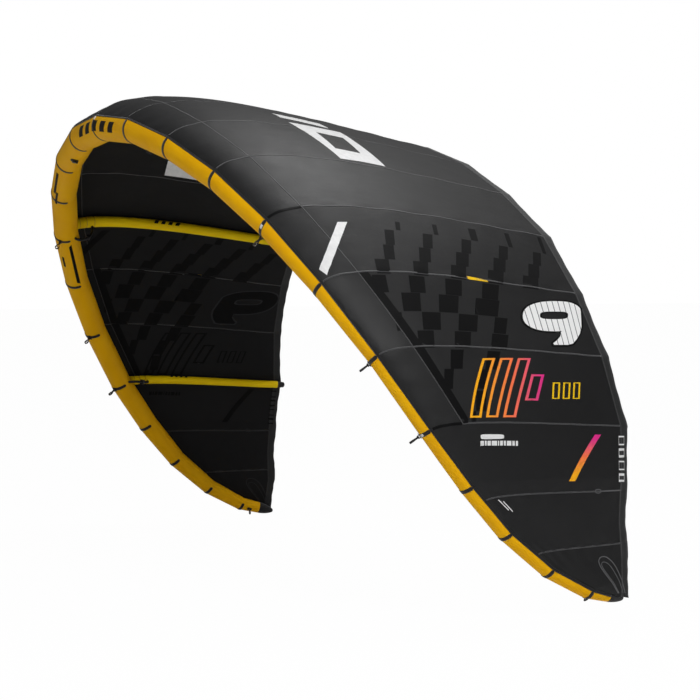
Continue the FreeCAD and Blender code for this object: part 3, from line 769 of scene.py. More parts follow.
seams_out, seams_in = Batch(), Batch()
for s in PANELS[:-1]:
    u = np.linspace(0.004, 1, 130) * hem_u(s)
    for side in ((1,) if s == 0 else (1, -1)):
        path_strip(seams_out, np.full(130, float(s)), u, 0.007, HALF * 0.5, HALF + 0.0005, side=side)
        path_strip(seams_in, np.full(130, float(s)), u, 0.008, -HALF - 0.0005, -HALF * 0.5, side=side)
LINE_S = [0.0, 0.839, 1.922, 2.964, 4.03, 5.026, 6.023, 7.019]
LINE_U = [0.176, 0.172, 0.168, 0.177, 0.188, 0.210, 0.231, 0.2426]
ls = np.linspace(0.0, 7.0, 260)
lu = np.interp(ls, LINE_S, LINE_U)
for _ in range(12):
    lu[1:-1] = (lu[:-2] + 2 * lu[1:-1] + lu[2:]) / 4
for side in (1, -1):
    path_strip(seams_out, ls, lu, 0.005, HALF * 0.5, HALF + 0.0005, side=side)
    path_strip(seams_in, ls, lu, 0.005, -HALF - 0.0005, -HALF * 0.5, side=side)
so = seams_out.build("canopy_seams_outer", [SEAM])
si = seams_in.build("canopy_seams_inner", [SEAM_IN])
for o in (so, si):
    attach(o, "kite")

# ------------------------------------------------------------------ struts
STRUTS = {"": (0, 34.0, 26.0), "_inner": (4, 31.0, 23.5), "_outer": (7, 25.5, 19.5)}


def strut_axis(st, r0, r1):
    def radius(u):
        return (r0 + (r1 - r0) * u) / 1000

    def point(u):
        n = normal(np.array([float(st)]), np.array([float(u)]))[0]
        if st == 0:
            n = n * [0, 1, 1]
            n = n / np.linalg.norm(n)
        return sheet(np.array([float(st)]), np.array([float(u)]), 0)[0] - n * (radius(u) + 0.001 + 0.0045)

    def heading(u):
        return nrm(point(min(u + 0.01, 1.0)) - point(max(u - 0.01, 0.0)))
    return radius, point, heading


def strut_piece(label, st, r0, r1, side):
    radius, point, heading = strut_axis(st, r0, r1)
    u_end = u_of_te(st, 0.027)
    axis_dir = FT[st]
    ut = 0.02
    while True:
        v = point(ut) - LEC[st]
        v = v - axis_dir * (v @ axis_dir)
        if np.linalg.norm(v) > LER[st] + 0.0012:
            break
        ut += 0.001
    count = 90
    us = np.concatenate([np.linspace(ut + 0.03, ut + 0.16, 44)[:-1], np.linspace(ut + 0.16, u_end, count - 43)])
    th = np.linspace(0, 2 * math.pi, 49)
    rows, runs = [], []
    seam_u = [ut + 0.045, ut + 0.085, ut + 0.125]
    pts = np.array([point(u) for u in us])
    run = arc_len(pts)
    for k, u in enumerate(us):
        h = heading(u)
        x = nrm(axis_dir - h * (h @ axis_dir))
        y = np.cross(h, x)
        r = radius(u)
        swell = 0.004 * math.sin(math.pi * min(max((u - ut) / (u_end - ut), 0), 1)) * r
        rr = np.full(49, r + swell)
        for q in seam_u:
            d = abs(u - q) * float(rib_len(st))
            rr -= 0.0011 * math.exp(-(d / 0.004) ** 2)
            rr += 0.0006 * math.exp(-((d - 0.014) / 0.009) ** 2)
        rr += 0.0005 * np.sin(th * 9 + k * 0.02) * math.exp(-(u_end - u) * 40) + 0.0004 * np.sin(th * 6 + 2) * math.exp(-(u - ut) * 14)
        rows.append(pts[k] + rr[:, None] * (np.cos(th)[:, None] * x + np.sin(th)[:, None] * y))
    # front end runs back to the tube's skin
    first = rows[0]
    h = heading(us[0])
    front = []
    for p in first:
        v = p - LEC[st]
        a = h - axis_dir * (h @ axis_dir)
        w = v - axis_dir * (v @ axis_dir)
        A, B, C = a @ a, 2 * (w @ a), w @ w - (LER[st] + 0.0004) ** 2
        disc = B * B - 4 * A * C
        t = (-B + math.sqrt(disc)) / (2 * A) if disc > 0 else -0.02
        front.append(p + h * min(t, -0.002))
    front = np.array(front)
    steps = [front * (1 - f) + first * f for f in np.linspace(0, 1, 9)[:-1]]
    rows = steps + rows
    lead = np.linalg.norm(front - first, axis=1).mean()
    runs = np.concatenate([np.linspace(0, lead, 9)[:-1], lead + run])
    V = np.array(rows)
    uv = np.stack(np.broadcast_arrays(runs[:, None], th[None] * r0 / 1000), -1)
    if side < 0:
        V = mirror_pts(V)
    name = "strut" + (label + ("_left" if side < 0 else "_right") if label else "_centre")
    ob = collect(name, V.reshape(-1, 3), grid_faces(len(V), 49), uv.reshape(-1, 2), True, [YELLOW_STRUT])
    bm = bmesh.new()
    bm.from_mesh(ob.data)
    bmesh.ops.remove_doubles(bm, verts=bm.verts, dist=1e-6)
    bmesh.ops.holes_fill(bm, edges=[e for e in bm.edges if e.is_boundary], sides=0)
    bmesh.ops.recalc_face_normals(bm, faces=bm.faces)
    bm.to_mesh(ob.data)
    bm.free()
    auto_smooth(ob, 55)
    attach(ob, "kite")
    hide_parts("strut_casing" + (label + ("_left" if side < 0 else "_right") if label else "_centre"))
    # dart stitching and the mitre's sewn edge
    b = Batch()
    def ring(at_rows, lift, half, mat):
        c = at_rows
        ctr = c.mean(0)
        o = nrm(c - ctr)
        hh = heading(us[0])
        top = np.stack([c + o * lift - hh * half, c + o * (lift + 0.0004), c + o * lift + hh * half], 1)
        bot = np.stack([c - o * 0.0006 - hh * half, c - o * 0.0006, c - o * 0.0006 + hh * half], 1)
        if side < 0:
            top, bot = mirror_pts(top), mirror_pts(bot)
        uvr = np.stack(np.broadcast_arrays((th * r0 / 1000)[:, None], np.array([0, half, 2 * half])[None]), -1)
        b.strip(top, bot, uvr, mat)
    ring(np.array(rows[1]), 0.0009, 0.0035, 0)
    for q in seam_u:
        k = int(np.argmin(abs(us - q))) + 8
        ring(np.array(rows[k]), 0.0003, 0.0012, 1)
    trim = b.build(name + "_stitching", [BAND, STITCH_Y])
    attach(trim, "kite")
    return ob


STITCH_Y = tape_material("strut_stitching", srgb(206, 138, 20), srgb(150, 92, 10), 0.6, (0.0012,), pitch=0.003)
for label, (st, r0, r1) in STRUTS.items():
    for side in ((1,) if st == 0 else (1, -1)):
        strut_piece(label, st, r0, r1, side)


# slanted marks on the inward side of the inner and outer struts
def strut_marks(st, r0, r1, side, batch, u_at):
    radius, point, heading = strut_axis(st, r0, r1)
    axis_dir = FT[st]
    for k in range(4):
        rows_t, rows_b = [], []
        for a in np.linspace(math.pi - 0.42, math.pi + 0.42, 7):
            top, bot = [], []
            for f in np.linspace(0, 1, 4):
                u = u_at + k * 0.024 + f * 0.013 + (a - math.pi) * 0.008
                h = heading(u)
                x = nrm(axis_dir - h * (h @ axis_dir))
                y = np.cross(h, x)
                o = math.cos(a) * x + math.sin(a) * y
                c = point(u)
                r = radius(u) * 1.004
                top.append(c + o * (r + 0.0007))
                bot.append(c + o * (r - 0.0008))
            rows_t.append(top)
            rows_b.append(bot)
        top, bot = np.array(rows_t), np.array(rows_b)
        uv = np.stack(np.broadcast_arrays(np.linspace(0, 0.03, 7)[:, None], np.linspace(0, 0.015, 4)[None]), -1)
        if side < 0:
            top, bot = mirror_pts(top), mirror_pts(bot)
        batch.strip(top, bot, uv, 0)


sm = Batch()
for st, r0, r1, ua in ((4, 31.0, 23.5, 0.47), (7, 25.5, 19.5, 0.43)):
    for side in (1, -1):
        strut_marks(st, r0, r1, side, sm, ua)
smo = sm.build("strut_marks", [INK])
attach(smo, "kite")


# ------------------------------------------------------------------ gathered cloth over the tube's ends
def tip_wrap(side):
    t, c, n = FT[-1], FC[-1], FN[-1]
    rows = []
    th = np.linspace(0, 2 * math.pi, 73)[:-1]
    for d, k in ((0.6, 1.0), (6, 1.005), (14, 0.99), (22, 0.955), (32, 0.90), (43, 0.83), (54, 0.735), (64, 0.63), (73, 0.51), (80, 0.40), (85.5, 0.28), (88.5, 0.15)):
        g = 0.045 * (d / 90) * np.cos(th * 12) + 0.02 * (d / 90) * np.cos(th * 5 + 1)
        r = LER[-1] * k * (1 + g)
        rows.append(LEC[-1] + t * d / 1000 + r[:, None] * (-np.cos(th)[:, None] * c + np.sin(th)[:, None] * n))
    V = np.array(rows)
    if side < 0:
        V = mirror_pts(V)
    F = [tuple(f) for f in grid_faces(len(V), 72, True)] + [tuple(range(72)), tuple(range((len(V) - 1) * 72, len(V) * 72))[::-1]]
    uv = np.stack(np.broadcast_arrays(np.linspace(0, 0.09, len(V))[:, None], th[None] * 0.03), -1)
    ob = collect("tip_wrap_cloth_" + ("left" if side < 0 else "right"), V.reshape(-1, 3), F, uv.reshape(-1, 2), True, [TAPE])
    tidy(ob)
    auto_smooth(ob, 60)
    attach(ob, "kite")
    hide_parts("tip_wrap_" + ("left" if side < 0 else "right"))


# ------------------------------------------------------------------ folded webbing loops and their rings
def tube_axes(s, deg):
    i = min(int(s), NST - 2)
    w = s - i
    p = LEC[i] * (1 - w) + LEC[i + 1] * w
    c, n, t = nrm(FC[i] * (1 - w) + FC[i + 1] * w), nrm(FN[i] * (1 - w) + FN[i + 1] * w), nrm(FT[i] * (1 - w) + FT[i + 1] * w)
    a = math.radians(deg)
    out = nrm(-math.cos(a) * c + math.sin(a) * n)
    out = nrm(out - t * (out @ t))
    return p, t, out, LER[i] * (1 - w) + LER[i + 1] * w


def web_loop(k, s, deg, side):
    p, t, out, r = tube_axes(s, deg)
    w = np.cross(out, t)
    hp = p + out * (r + 0.0104)
    last = k == 3
    L_ = 0.034
    r1, r2 = 0.0031, (0.0045 if last else 0.0100)
    pts = []
    a_in = math.asin((r2 - r1) / L_)
    for a in np.linspace(math.pi / 2 + a_in, 3 * math.pi / 2 - a_in, 15):
        pts.append((r1 * math.cos(a), r1 * math.sin(a)))
    for a in np.linspace(-math.pi / 2 - a_in, math.pi / 2 + a_in, 19):
        pts.append((L_ + r2 * math.cos(a), r2 * math.sin(a)))
    pts = np.array(pts)
    # pinch the two layers together between the bar and the ring
    dense = []
    m = len(pts)
    for q in range(m):
        a, b = pts[q], pts[(q + 1) % m]
        cnt = max(1, int(np.linalg.norm(b - a) / 0.0022))
        for z in range(cnt):
            dense.append(a + (b - a) * z / cnt)
    D = np.array(dense)
    mid = np.clip(1 - ((D[:, 0] - 0.0125) / 0.0085) ** 2, 0, 1)
    D[:, 1] *= 1 - 0.62 * mid
    nxt, prv = np.roll(D, -1, 0), np.roll(D, 1, 0)
    tang = nxt - prv
    tang /= np.linalg.norm(tang, axis=1, keepdims=True)
    nor = np.stack([tang[:, 1], -tang[:, 0]], 1)
    th = 0.0007
    V, F = [], []
    cols = [(-0.0040, th), (-0.0040, -th), (0.0040, -th), (0.0040, th)]
    for (x, y), (nx, ny) in zip(D, nor):
        for tt, dd in cols:
            V.append(hp + out * (x + nx * dd) + w * (y + ny * dd) + t * tt)
    M = len(D)
    F = []
    for q in range(M):
        for z in range(4):
            F.append((q * 4 + z, q * 4 + (z + 1) % 4, ((q + 1) % M) * 4 + (z + 1) % 4, ((q + 1) % M) * 4 + z))
    run = np.repeat(np.arange(M) * 0.0022, 4)
    b = Batch()
    V = np.array(V)
    b.add(mirror_pts(V) if side < 0 else V, F, np.stack([run, np.tile([0, 0, 0.008, 0.008], M)], -1), 0)
    if not last:
        c = hp + out * (L_ + 0.0)
        A = np.linspace(0, 2 * math.pi, 49)[:-1]
        Bq = np.linspace(0, 2 * math.pi, 13)[:-1]
        R = []
        for a in A:
            e = math.cos(a) * out + math.sin(a) * w
            for q in Bq:
                R.append(c + e * (0.0065 + 0.0014 * math.cos(q)) + t * 0.0019 * math.sin(q))
        R = np.array(R)
        FF = [(i * 12 + j, i * 12 + (j + 1) % 12, ((i + 1) % 48) * 12 + (j + 1) % 12, ((i + 1) % 48) * 12 + j) for i in range(48) for j in range(12)]
        b.add(mirror_pts(R) if side < 0 else R, FF, np.zeros((len(R), 2)), 1)
    else:
        K = []
        c = hp + out * (L_ + 0.004)
        A = np.linspace(0, 2 * math.pi, 33)[:-1]
        Z = np.linspace(0, math.pi, 9)[1:-1]
        for z in Z:
            for a in A:
                rr = 0.0052 * math.sin(z) * (1 + 0.08 * math.cos(3 * a + 2 * z))
                K.append(c + out * rr * math.cos(a) + w * rr * math.sin(a) + t * 0.0045 * math.cos(z))
        n0 = len(A)
        FF = [(i * n0 + j, i * n0 + (j + 1) % n0, (i + 1) * n0 + (j + 1) % n0, (i + 1) * n0 + j) for i in range(len(Z) - 1) for j in range(n0)]
        FF += [tuple(range(n0)), tuple(range((len(Z) - 1) * n0, len(Z) * n0))[::-1]]
        K = np.array(K)
        b.add(mirror_pts(K) if side < 0 else K, FF, np.zeros((len(K), 2)), 0)
    sd = "left" if side < 0 else "right"
    node = ("tip_loop_" if last else "line_loop_%d_" % (k + 1)) + sd
    ob = b.build("webbing_" + node, [WEB, STEEL])
    auto_smooth(ob, 50)
    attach(ob, node.replace("line_", ""))
    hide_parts(node)


for side in (1, -1):
    tip_wrap(side)
    for k, (s, deg) in enumerate(((4.0, -52.0), (6.0, -42.0), (7.0, -26.0), (11.45, -40.0))):
        web_loop(k, s, deg, side)


# ------------------------------------------------------------------ printed graphics on the cloth
def box_map(c00, c10, c11, c01):
    """Bilinear map from a unit square to (s, u)."""
    c00, c10, c11, c01 = map(np.array, (c00, c10, c11, c01))

    def f(p):
        x, y = p[:, :1], p[:, 1:2]
        return c00 * (1 - x) * (1 - y) + c10 * x * (1 - y) + c11 * x * y + c01 * (1 - x) * y
    return f


def unit_map(p):
    return p


CUT_S = [float(q) for q in sorted(set(list(range(0, 13)) + PANELS))]


def flat(shapes, fmap, step_s=0.07, step_u=0.02):
    """Polygons with holes, in local coordinates -> triangulated (s, u) points, local coordinates and faces."""
    bm = bmesh.new()
    loc = bm.verts.layers.float_vector.new("loc")
    for outer, holes in shapes:
        loops = [outer] + list(holes)
        dense = []
        for lp in loops:
            lp = [tuple(q) for q in lp]
            out = []
            for a, b in zip(lp, lp[1:] + lp[:1]):
                for k in range(3):
                    out.append((a[0] + (b[0] - a[0]) * k / 3, a[1] + (b[1] - a[1]) * k / 3))
            dense.append(out)
        tris = geometry.tessellate_polygon([[Vector((x, y, 0)) for x, y in lp] for lp in dense])
        pts = np.array([q for lp in dense for q in lp], float)
        su = fmap(pts)
        vs = []
        for (x, y), (s, u) in zip(pts, su):
            v = bm.verts.new((s, u, 0))
            v[loc] = (x, y, 0)
            vs.append(v)
        for t in tris:
            try:
                bm.faces.new([vs[i] for i in t])
            except ValueError:
                pass
    bmesh.ops.remove_doubles(bm, verts=bm.verts, dist=1e-7)
    lo = [min(v.co[k] for v in bm.verts) for k in (0, 1)]
    hi = [max(v.co[k] for v in bm.verts) for k in (0, 1)]
    cuts = [q for q in CUT_S if lo[0] < q < hi[0]] + list(np.arange(math.floor(lo[0] / step_s) * step_s, hi[0], step_s))
    for q in cuts:
        bmesh.ops.bisect_plane(bm, geom=bm.verts[:] + bm.edges[:] + bm.faces[:], plane_co=(q, 0, 0), plane_no=(1, 0, 0))
    for q in np.arange(math.floor(lo[1] / step_u) * step_u, hi[1], step_u):
        bmesh.ops.bisect_plane(bm, geom=bm.verts[:] + bm.edges[:] + bm.faces[:], plane_co=(0, q, 0), plane_no=(0, 1, 0))
    bmesh.ops.dissolve_degenerate(bm, dist=1e-6, edges=bm.edges)
    bm.verts.index_update()
    SU = np.array([v.co[:2] for v in bm.verts])
    LO = np.array([v[loc][:2] for v in bm.verts])
    F = [[v.index for v in f.verts] for f in bm.faces]
    # counter-clockwise in (s, u)
    G = []
    for f in F:
        q = SU[f]
        a = 0.5 * np.sum(q[:, 0] * np.roll(q[:, 1], -1) - np.roll(q[:, 0], -1) * q[:, 1])
        G.append(f if a > 0 else f[::-1])
    bm.free()
    return SU, LO, G


def decal(batch, shapes, fmap, mat, level=1, inner=False, side=1, scale=(1, 1), surface=None):
    SU, LO, F = flat(shapes, fmap)
    if surface is None:
        S, U = np.clip(SU[:, 0], 0, 12), np.clip(SU[:, 1], 0.001, 1)
        P = skin(S, U, 0.0)
        N = normal(S, U)
        top = HALF + 0.00045 + 0.00025 * level
        if inner:
            A, B = P - N * top, P - N * (HALF * 0.5)
        else:
            A, B = P + N * top, P + N * (HALF * 0.5)
    else:
        A, B = surface(SU[:, 0], SU[:, 1])
    if side < 0:
        A, B = mirror_pts(A), mirror_pts(B)
    n = len(A)
    count = {}
    for f in F:
        for a, b in zip(f, f[1:] + f[:1]):
            count[(a, b)] = count.get((a, b), 0) + 1
    faces = [tuple(f) for f in F] + [tuple(i + n for i in f[::-1]) for f in F]
    for (a, b) in count:
        if (b, a) not in count:
            faces.append((b, a, a + n, b + n))
    uv = LO * np.array(scale)
    batch.add(np.concatenate([A, B]), faces, np.concatenate([uv, uv]), mat)


def bar(x0, y0, x1, y1, w):
    """Straight stroke with square ends."""
    a, b = np.array([x0, y0]), np.array([x1, y1])
    d = (b - a) / np.linalg.norm(b - a)
    n = np.array([-d[1], d[0]]) * w / 2
    return [tuple(a + n), tuple(a - n), tuple(b - n), tuple(b + n)]


def ring_poly(poly, w):
    """Outline of a convex polygon: outer loop and inset hole of even width."""
    p = np.array(poly, float)
    if 0.5 * np.sum(p[:, 0] * np.roll(p[:, 1], -1) - np.roll(p[:, 0], -1) * p[:, 1]) < 0:
        p = p[::-1]
    out = []
    n = len(p)
    for i in range(n):
        a, b, c = p[i - 1], p[i], p[(i + 1) % n]
        d1, d2 = (b - a) / np.linalg.norm(b - a), (c - b) / np.linalg.norm(c - b)
        n1, n2 = np.array([-d1[1], d1[0]]), np.array([-d2[1], d2[0]])
        m = (n1 + n2) / np.linalg.norm(n1 + n2)
        out.append(tuple(b + m * w / max((m @ n1), 0.25)))
    return ([tuple(q) for q in p], [out[::-1]])


def arc_pts(cx, cy, rx, ry, a0, a1, n=20, power=2.0):
    out = []
    for k in range(n + 1):
        a = math.radians(a0 + (a1 - a0) * k / n)
        c, s = math.cos(a), math.sin(a)
        out.append((cx + rx * math.copysign(abs(c) ** (2 / power), c), cy + ry * math.copysign(abs(s) ** (2 / power), s)))
    return out


# numeral 9 in a unit box: x reading direction, y up
def numeral(grow=0.0):
    g = grow
    left = arc_pts(0.5, 0.65, 0.5 + g, 0.35 + g, -78, -338, 48, 2.35)
    tail = [(0.985 + g, 0.40), (0.955 + g, 0.25), (0.90 + g, 0.13), (0.83 + g * 0.7, 0.03 - g), (0.74, -g), (0.50 - g, -g), (0.485 - g, 0.035 + g * 0.5), (0.555 - g * 0.5, 0.11 + g),
            (0.605 - g * 0.4, 0.19 + g * 0.5), (0.615 - g * 0.3, 0.29)]
    return left + tail


def numeral_hole(grow=0.0):
    return arc_pts(0.5, 0.665, 0.235 - grow, 0.088 - grow * 0.7, 0, 360, 30, 3.4)[:-1]


def stripes_white():
    m = Mat("print_striped_white", srgb(240, 240, 240), 0.45, 0.4)
    s = m.split(m.uv())
    f = m.math("FRACT", m.math("DIVIDE", m.math("ADD", s[0], m.math("MULTIPLY", s[1], 0.30)), 0.034))
    m.over(m.math("LESS_THAN", f, 0.14), srgb(120, 120, 122))
    m.add_height(m.noise(150, 3, 0.6), 0.8)
    return m.done(0.25, 0.0008)


STRIPED = stripes_white()
OUT_MATS = [INK, WHITE, INK_YELLOW, FADE, STRIPED, INK_GREY]
K_INK, K_WHITE, K_YEL, K_FADE, K_STR, K_GREY = range(6)

NUM_C = ((5.845, .893), (5.927, .657), (5.252, .739), (5.114, .984))   # BR, BL, TL, TR
BL, BR, TR, TL = (5.927, .657), (5.845, .893), (5.114, .984), (5.252, .739)
num_r = box_map(BL, BR, TR, TL)
num_l = box_map(BR, BL, TL, TR)

CHECKS = [
    (4.08, 4.34, -.016, [(.471, .485), (.586, .599), (.698, .720), (.818, .8325), (.940, .9535)]),
    (4.35, 4.59, -.030, [(.417, .4465), (.534, .5635), (.651, .6805), (.768, .7975), (.885, .9145)]),
    (4.594, 4.817, -.028, [(.376, .411), (.490, .526), (.604, .643), (.721, .760), (.838, .877)]),
    (4.82, 5.03, -.027, [(.310, .360), (.440, .488), (.5595, .607), (.676, .726), (.791, .845)]),
    (5.05, 5.29, -.032, [(.256, .310), (.391, .444), (.511, .564), (.630, .683)]),
    (5.295, 5.545, -.037, [(.323, .391), (.455, .521), (.577, .655)]),
    (5.555, 5.79, -.036, [(.242, .275), (.354, .4216), (.485, .550), (.6075, .650)]),
    (5.80, 6.02, -.035, [(.291, .356), (.4345, .492), (.566, .622)]),
    (6.045, 6.30, -.045, [(.380, .4285), (.516, .561)]),
    (6.30, 6.56, -.055, [(.308, .3485), (.448, .4885)]),
    (6.586, 6.85, -.047, [(.389, .433)]),
    (6.85, 7.0, -.030, [(.319, .341)])]


def checks():
    out = []
    for s0, s1, slant, cells in CHECKS:
        for a, b in cells:
            top = s0 if s0 > 4.2 else 4.20 - (a - .47) * 0.34
            out.append(([(top, a), (s1, a + slant), (s1, b + slant), (top, b)], []))
    return out


def line_u(s):
    return np.interp(s, ls, lu)


def stripe():
    top = [(s, line_u(s) + 0.004) for s in np.linspace(4.99, 7.0, 22)]
    w = [np.interp(s, [4.99, 6, 7], [.036, .042, .039]) for s in np.linspace(4.99, 7.0, 22)]
    bot = [(s, u + d) for (s, u), d in zip(top, w)]
    return [(top + bot[::-1], [])]


# slanted outline motif: four outlined leaning bars in a row, plain geometry in place of lettering
mot = box_map((6.936, .295), (6.925, .643), (6.092, .740), (6.162, .434))   # BL, BR, TR, TL of the box
MOT_W, MOT_H = 0.48, 0.30


def motif():
    """Four outlined leaning bars in a row, the last one shorter."""
    w = 0.032
    out = []
    for k, (y0, y1) in enumerate(((0.0, 1.0), (0.0, 1.0), (0.0, 1.0), (0.28, 0.72))):
        x = k * 0.215
        a, b = x + 0.16 * y0, x + 0.16 * y1
        out.append(ring_poly([(a, y0), (a + 0.155, y0), (b + 0.155, y1), (b, y1)], w))
    return out


word = box_map((6.664, .677), (6.642, .797), (6.409, .822), (6.436, .703))
def word_shapes():
    out = []
    for k in range(3):
        x = k * 0.36
        out.append(ring_poly([(x, 0), (x + 0.25, 0), (x + 0.28, 1), (x + 0.03, 1)], 0.055))
    return out


pill = box_map((7.282, .287), (7.285, .403), (7.207, .412), (7.198, .300))
textl = box_map((7.398, .263), (7.419, .456), (7.313, .468), (7.298, .282))
def text_bars():
    out, x = [], 0.0
    for w in (.10, .05, .09, .14, .03, .07, .05, .11, .06, .05):
        if x + w > 1:
            break
        out.append(([(x, 0.1), (x + w, 0.1), (x + w, 0.9), (x, 0.9)], []))
        x += w + 0.025
    return out


temark = box_map((8.132, .974), (8.123, .926), (7.176, .940), (7.175, .979))
def te_shapes():
    out = []
    for k in range(4):
        y = 0.02 + k * 0.255
        out.append(ring_poly([(0.08, y), (0.92, y), (0.92, y + 0.19), (0.08, y + 0.19)], 0.028 if k % 2 else 0.05))
    return out


emblem = box_map((2.155, .607), (2.923, .609), (1.509, .594), (1.375, .458))
def arch():
    """Rounded outline near the wing tip."""
    def curve(half, apex):
        up = [(11.75, apex[1] - half * 1.15), (11.0, apex[1] - half), (10.35, apex[1] - half * 0.86)]
        top = [(apex[0] + 0.10, apex[1] - half * 0.55), (apex[0], apex[1]), (apex[0] + 0.10, apex[1] + half * 0.55)]
        return up + top + [(10.35, apex[1] + half * 0.86), (11.0, apex[1] + half), (11.75, apex[1] + half * 1.15)]
    return curve(0.11, (9.81, .697)), curve(0.065, (9.98, .677))


outer, inner_ghost = Batch(), Batch()


def path_on(batch, S, U, width, lift, mat, side, inner=False):
    P = skin(np.asarray(S, float), np.asarray(U, float), 0.0)
    N = normal(np.asarray(S, float), np.asarray(U, float))
    T = nrm(np.gradient(P, axis=0))
    B = nrm(np.cross(N, T))
    k = np.array([-0.5, 0.5])
    sg = -1 if inner else 1
    body = P[:, None] + B[:, None] * (k * width)[None, :, None]
    top, bot = body + sg * N[:, None] * (HALF + lift), body + sg * N[:, None] * (HALF * 0.5)
    uv = np.stack(np.broadcast_arrays(arc_len(P)[:, None], (k[None] + 0.5) * width), -1)
    if side < 0:
        top, bot = mirror_pts(top), mirror_pts(bot)
    batch.strip(top, bot, uv, mat)


# hollow leaning frame and a bar across the top, in place of lettering
EMBLEM = [([(1.84, .470), (2.93, .484), (2.93, .612), (1.84, .616)], [[(2.10, .516), (2.14, .588), (2.66, .575), (2.64, .505)]]),
          ([(1.42, .469), (1.62, .469), (1.72, .597), (1.49, .597)], [])]
SLASH = [(4.262, .2754), (4.405, .235), (4.537, .1925), (4.659, .1471), (4.767, .0969), (4.858, .0393), (4.96, .0559), (4.851, .1183), (4.722, .1722), (4.581, .2209), (4.427, .2665), (4.261, .3101)]
DASH = [(4.972, .589), (5.012, .589), (5.022, .651), (4.982, .651)]
GSLASH = box_map((8.057, .639), (7.181, .817), (7.181, .847), (8.06, .671))
for side in (1, -1):
    num = num_r if side > 0 else num_l
    decal(outer, stripe(), unit_map, K_INK, 0, side=side)
    decal(outer, checks(), unit_map, K_INK, 0, side=side)
    decal(outer, [(SLASH, [])], unit_map, K_WHITE, 1, side=side)
    decal(outer, [(DASH, [])], unit_map, K_YEL, 1, side=side)
    decal(outer, [(numeral(0.035), [numeral_hole(0.03)])], num, K_INK, 1, side=side)
    decal(outer, [(numeral(), [numeral_hole()])], num, K_STR, 2, side=side, scale=(0.36, 0.26))
    decal(outer, motif(), mot, K_FADE, 2, side=side, scale=(1.0, 1.0))
    decal(outer, word_shapes(), word, K_YEL, 1, side=side)
    decal(outer, [(arc_pts(0.5, 0.5, 0.5, 0.5, 0, 360, 28, 5)[:-1], [])], pill, K_WHITE, 1, side=side)
    decal(outer, text_bars(), textl, K_WHITE, 1, side=side)
    decal(outer, [([(0, 0), (1, 0), (1, 1), (0, 1)], [])], GSLASH, K_FADE, 1, side=side, scale=(1.0, 1.0))
    decal(outer, te_shapes(), temark, K_WHITE, 1, side=side)
    decal(outer, EMBLEM, unit_map, K_WHITE, 1, side=side)
    # seam reinforcements and small marks
    for inn, bt, kk in ((False, outer, K_GREY), (True, inner_ghost, 2)):
        th = np.linspace(0, 2 * math.pi, 41)
        ds = 0.018 / 0.29
        path_on(bt, 8.299 + ds * np.cos(th) * 0.7, .791 + 0.018 / 1.0 * np.sin(th), 0.0035, 0.0006, kk, side, inn)
        path_on(bt, np.full(30, 8.3), np.linspace(.81, .955, 30), 0.003, 0.0006, kk, side, inn)
        for cv, wdt in zip(arch(), (0.0045, 0.003)):
            cv = np.array(cv)
            t = arc_len(cv)
            f = np.linspace(0, t[-1], 60)
            cs, cu = np.interp(f, t, cv[:, 0]), np.interp(f, t, cv[:, 1])
            for _ in range(6):
                cs[1:-1], cu[1:-1] = (cs[:-2] + 2 * cs[1:-1] + cs[2:]) / 4, (cu[:-2] + 2 * cu[1:-1] + cu[2:]) / 4
            path_on(bt, cs, cu, wdt, 0.0006, kk, side, inn)
    path_on(outer, np.linspace(8.355, 8.583, 8), np.linspace(.153, .177, 8), 0.004, 0.0006, K_WHITE, side)
    path_on(outer, np.linspace(8.40, 8.62, 8), np.linspace(.185, .205, 8), 0.004, 0.0006, K_WHITE, side)
    # heavier black reinforcement beside the tube at the strut seams
    for st in (4.0, 7.0):
        path_on(outer, np.full(30, st), np.linspace(.004, .185 if st == 4 else .24, 30), 0.012, 0.0009, K_INK, side)
        path_on(inner_ghost, np.full(30, st), np.linspace(.06, .185 if st == 4 else .24, 30), 0.012, 0.0009, 0, side, True)
    # the same prints seen through from below
    decal(inner_ghost, checks(), unit_map, 0, 0, True, side)
    decal(inner_ghost, stripe(), unit_map, 0, 0, True, side)
    decal(inner_ghost, [(SLASH, [])], unit_map, 0, 1, True, side)
    decal(inner_ghost, EMBLEM, unit_map, 1 if side < 0 else 0, 1, True, side)
    decal(inner_ghost, [(numeral(0.03), [numeral_hole(0.03)])], num, 2, 1, True, side)
    decal(inner_ghost, [(numeral(), [numeral_hole()])], num, 0, 2, True, side)
    decal(inner_ghost, motif(), mot, 0, 2, True, side)
    decal(inner_ghost, word_shapes(), word, 0, 1, True, side)
    decal(inner_ghost, [([(0, 0), (1, 0), (1, 1), (0, 1)], [])], GSLASH, 0, 1, True, side)
    decal(inner_ghost, te_shapes(), temark, 0, 1, True, side)
    decal(inner_ghost, text_bars(), textl, 0, 1, True, side)
    decal(inner_ghost, [(DASH, [])], unit_map, 0, 1, True, side)
INK_EDGE = print_material("print_edge_inner", srgb(46, 46, 48), 0.65, 0.1)
go = outer.build("prints_outer", OUT_MATS, smooth=True)
gi = inner_ghost.build("prints_inner", [INK_IN, WHITE, INK_EDGE], smooth=True)
for o in (go, gi):
    auto_smooth(o, 40)
    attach(o, "kite")


# ------------------------------------------------------------------ marks on the inflated parts
def tube_skin(lift_a, lift_b):
    def f(s, a_deg):
        neg = s < 0
        q = np.abs(s)
        a = np.radians(a_deg)
        b = tube_bulge(np.clip(q, 0, 11.999), a)
        P = np.array([tube_point(q[i], a[i], b[i] + lift_a) for i in range(len(q))])
        Q = np.array([tube_point(q[i], a[i], b[i] + lift_b) for i in range(len(q))])
        P[neg], Q[neg] = mirror_pts(P[neg]), mirror_pts(Q[neg])
        return P, Q
    return f


marks = Batch()


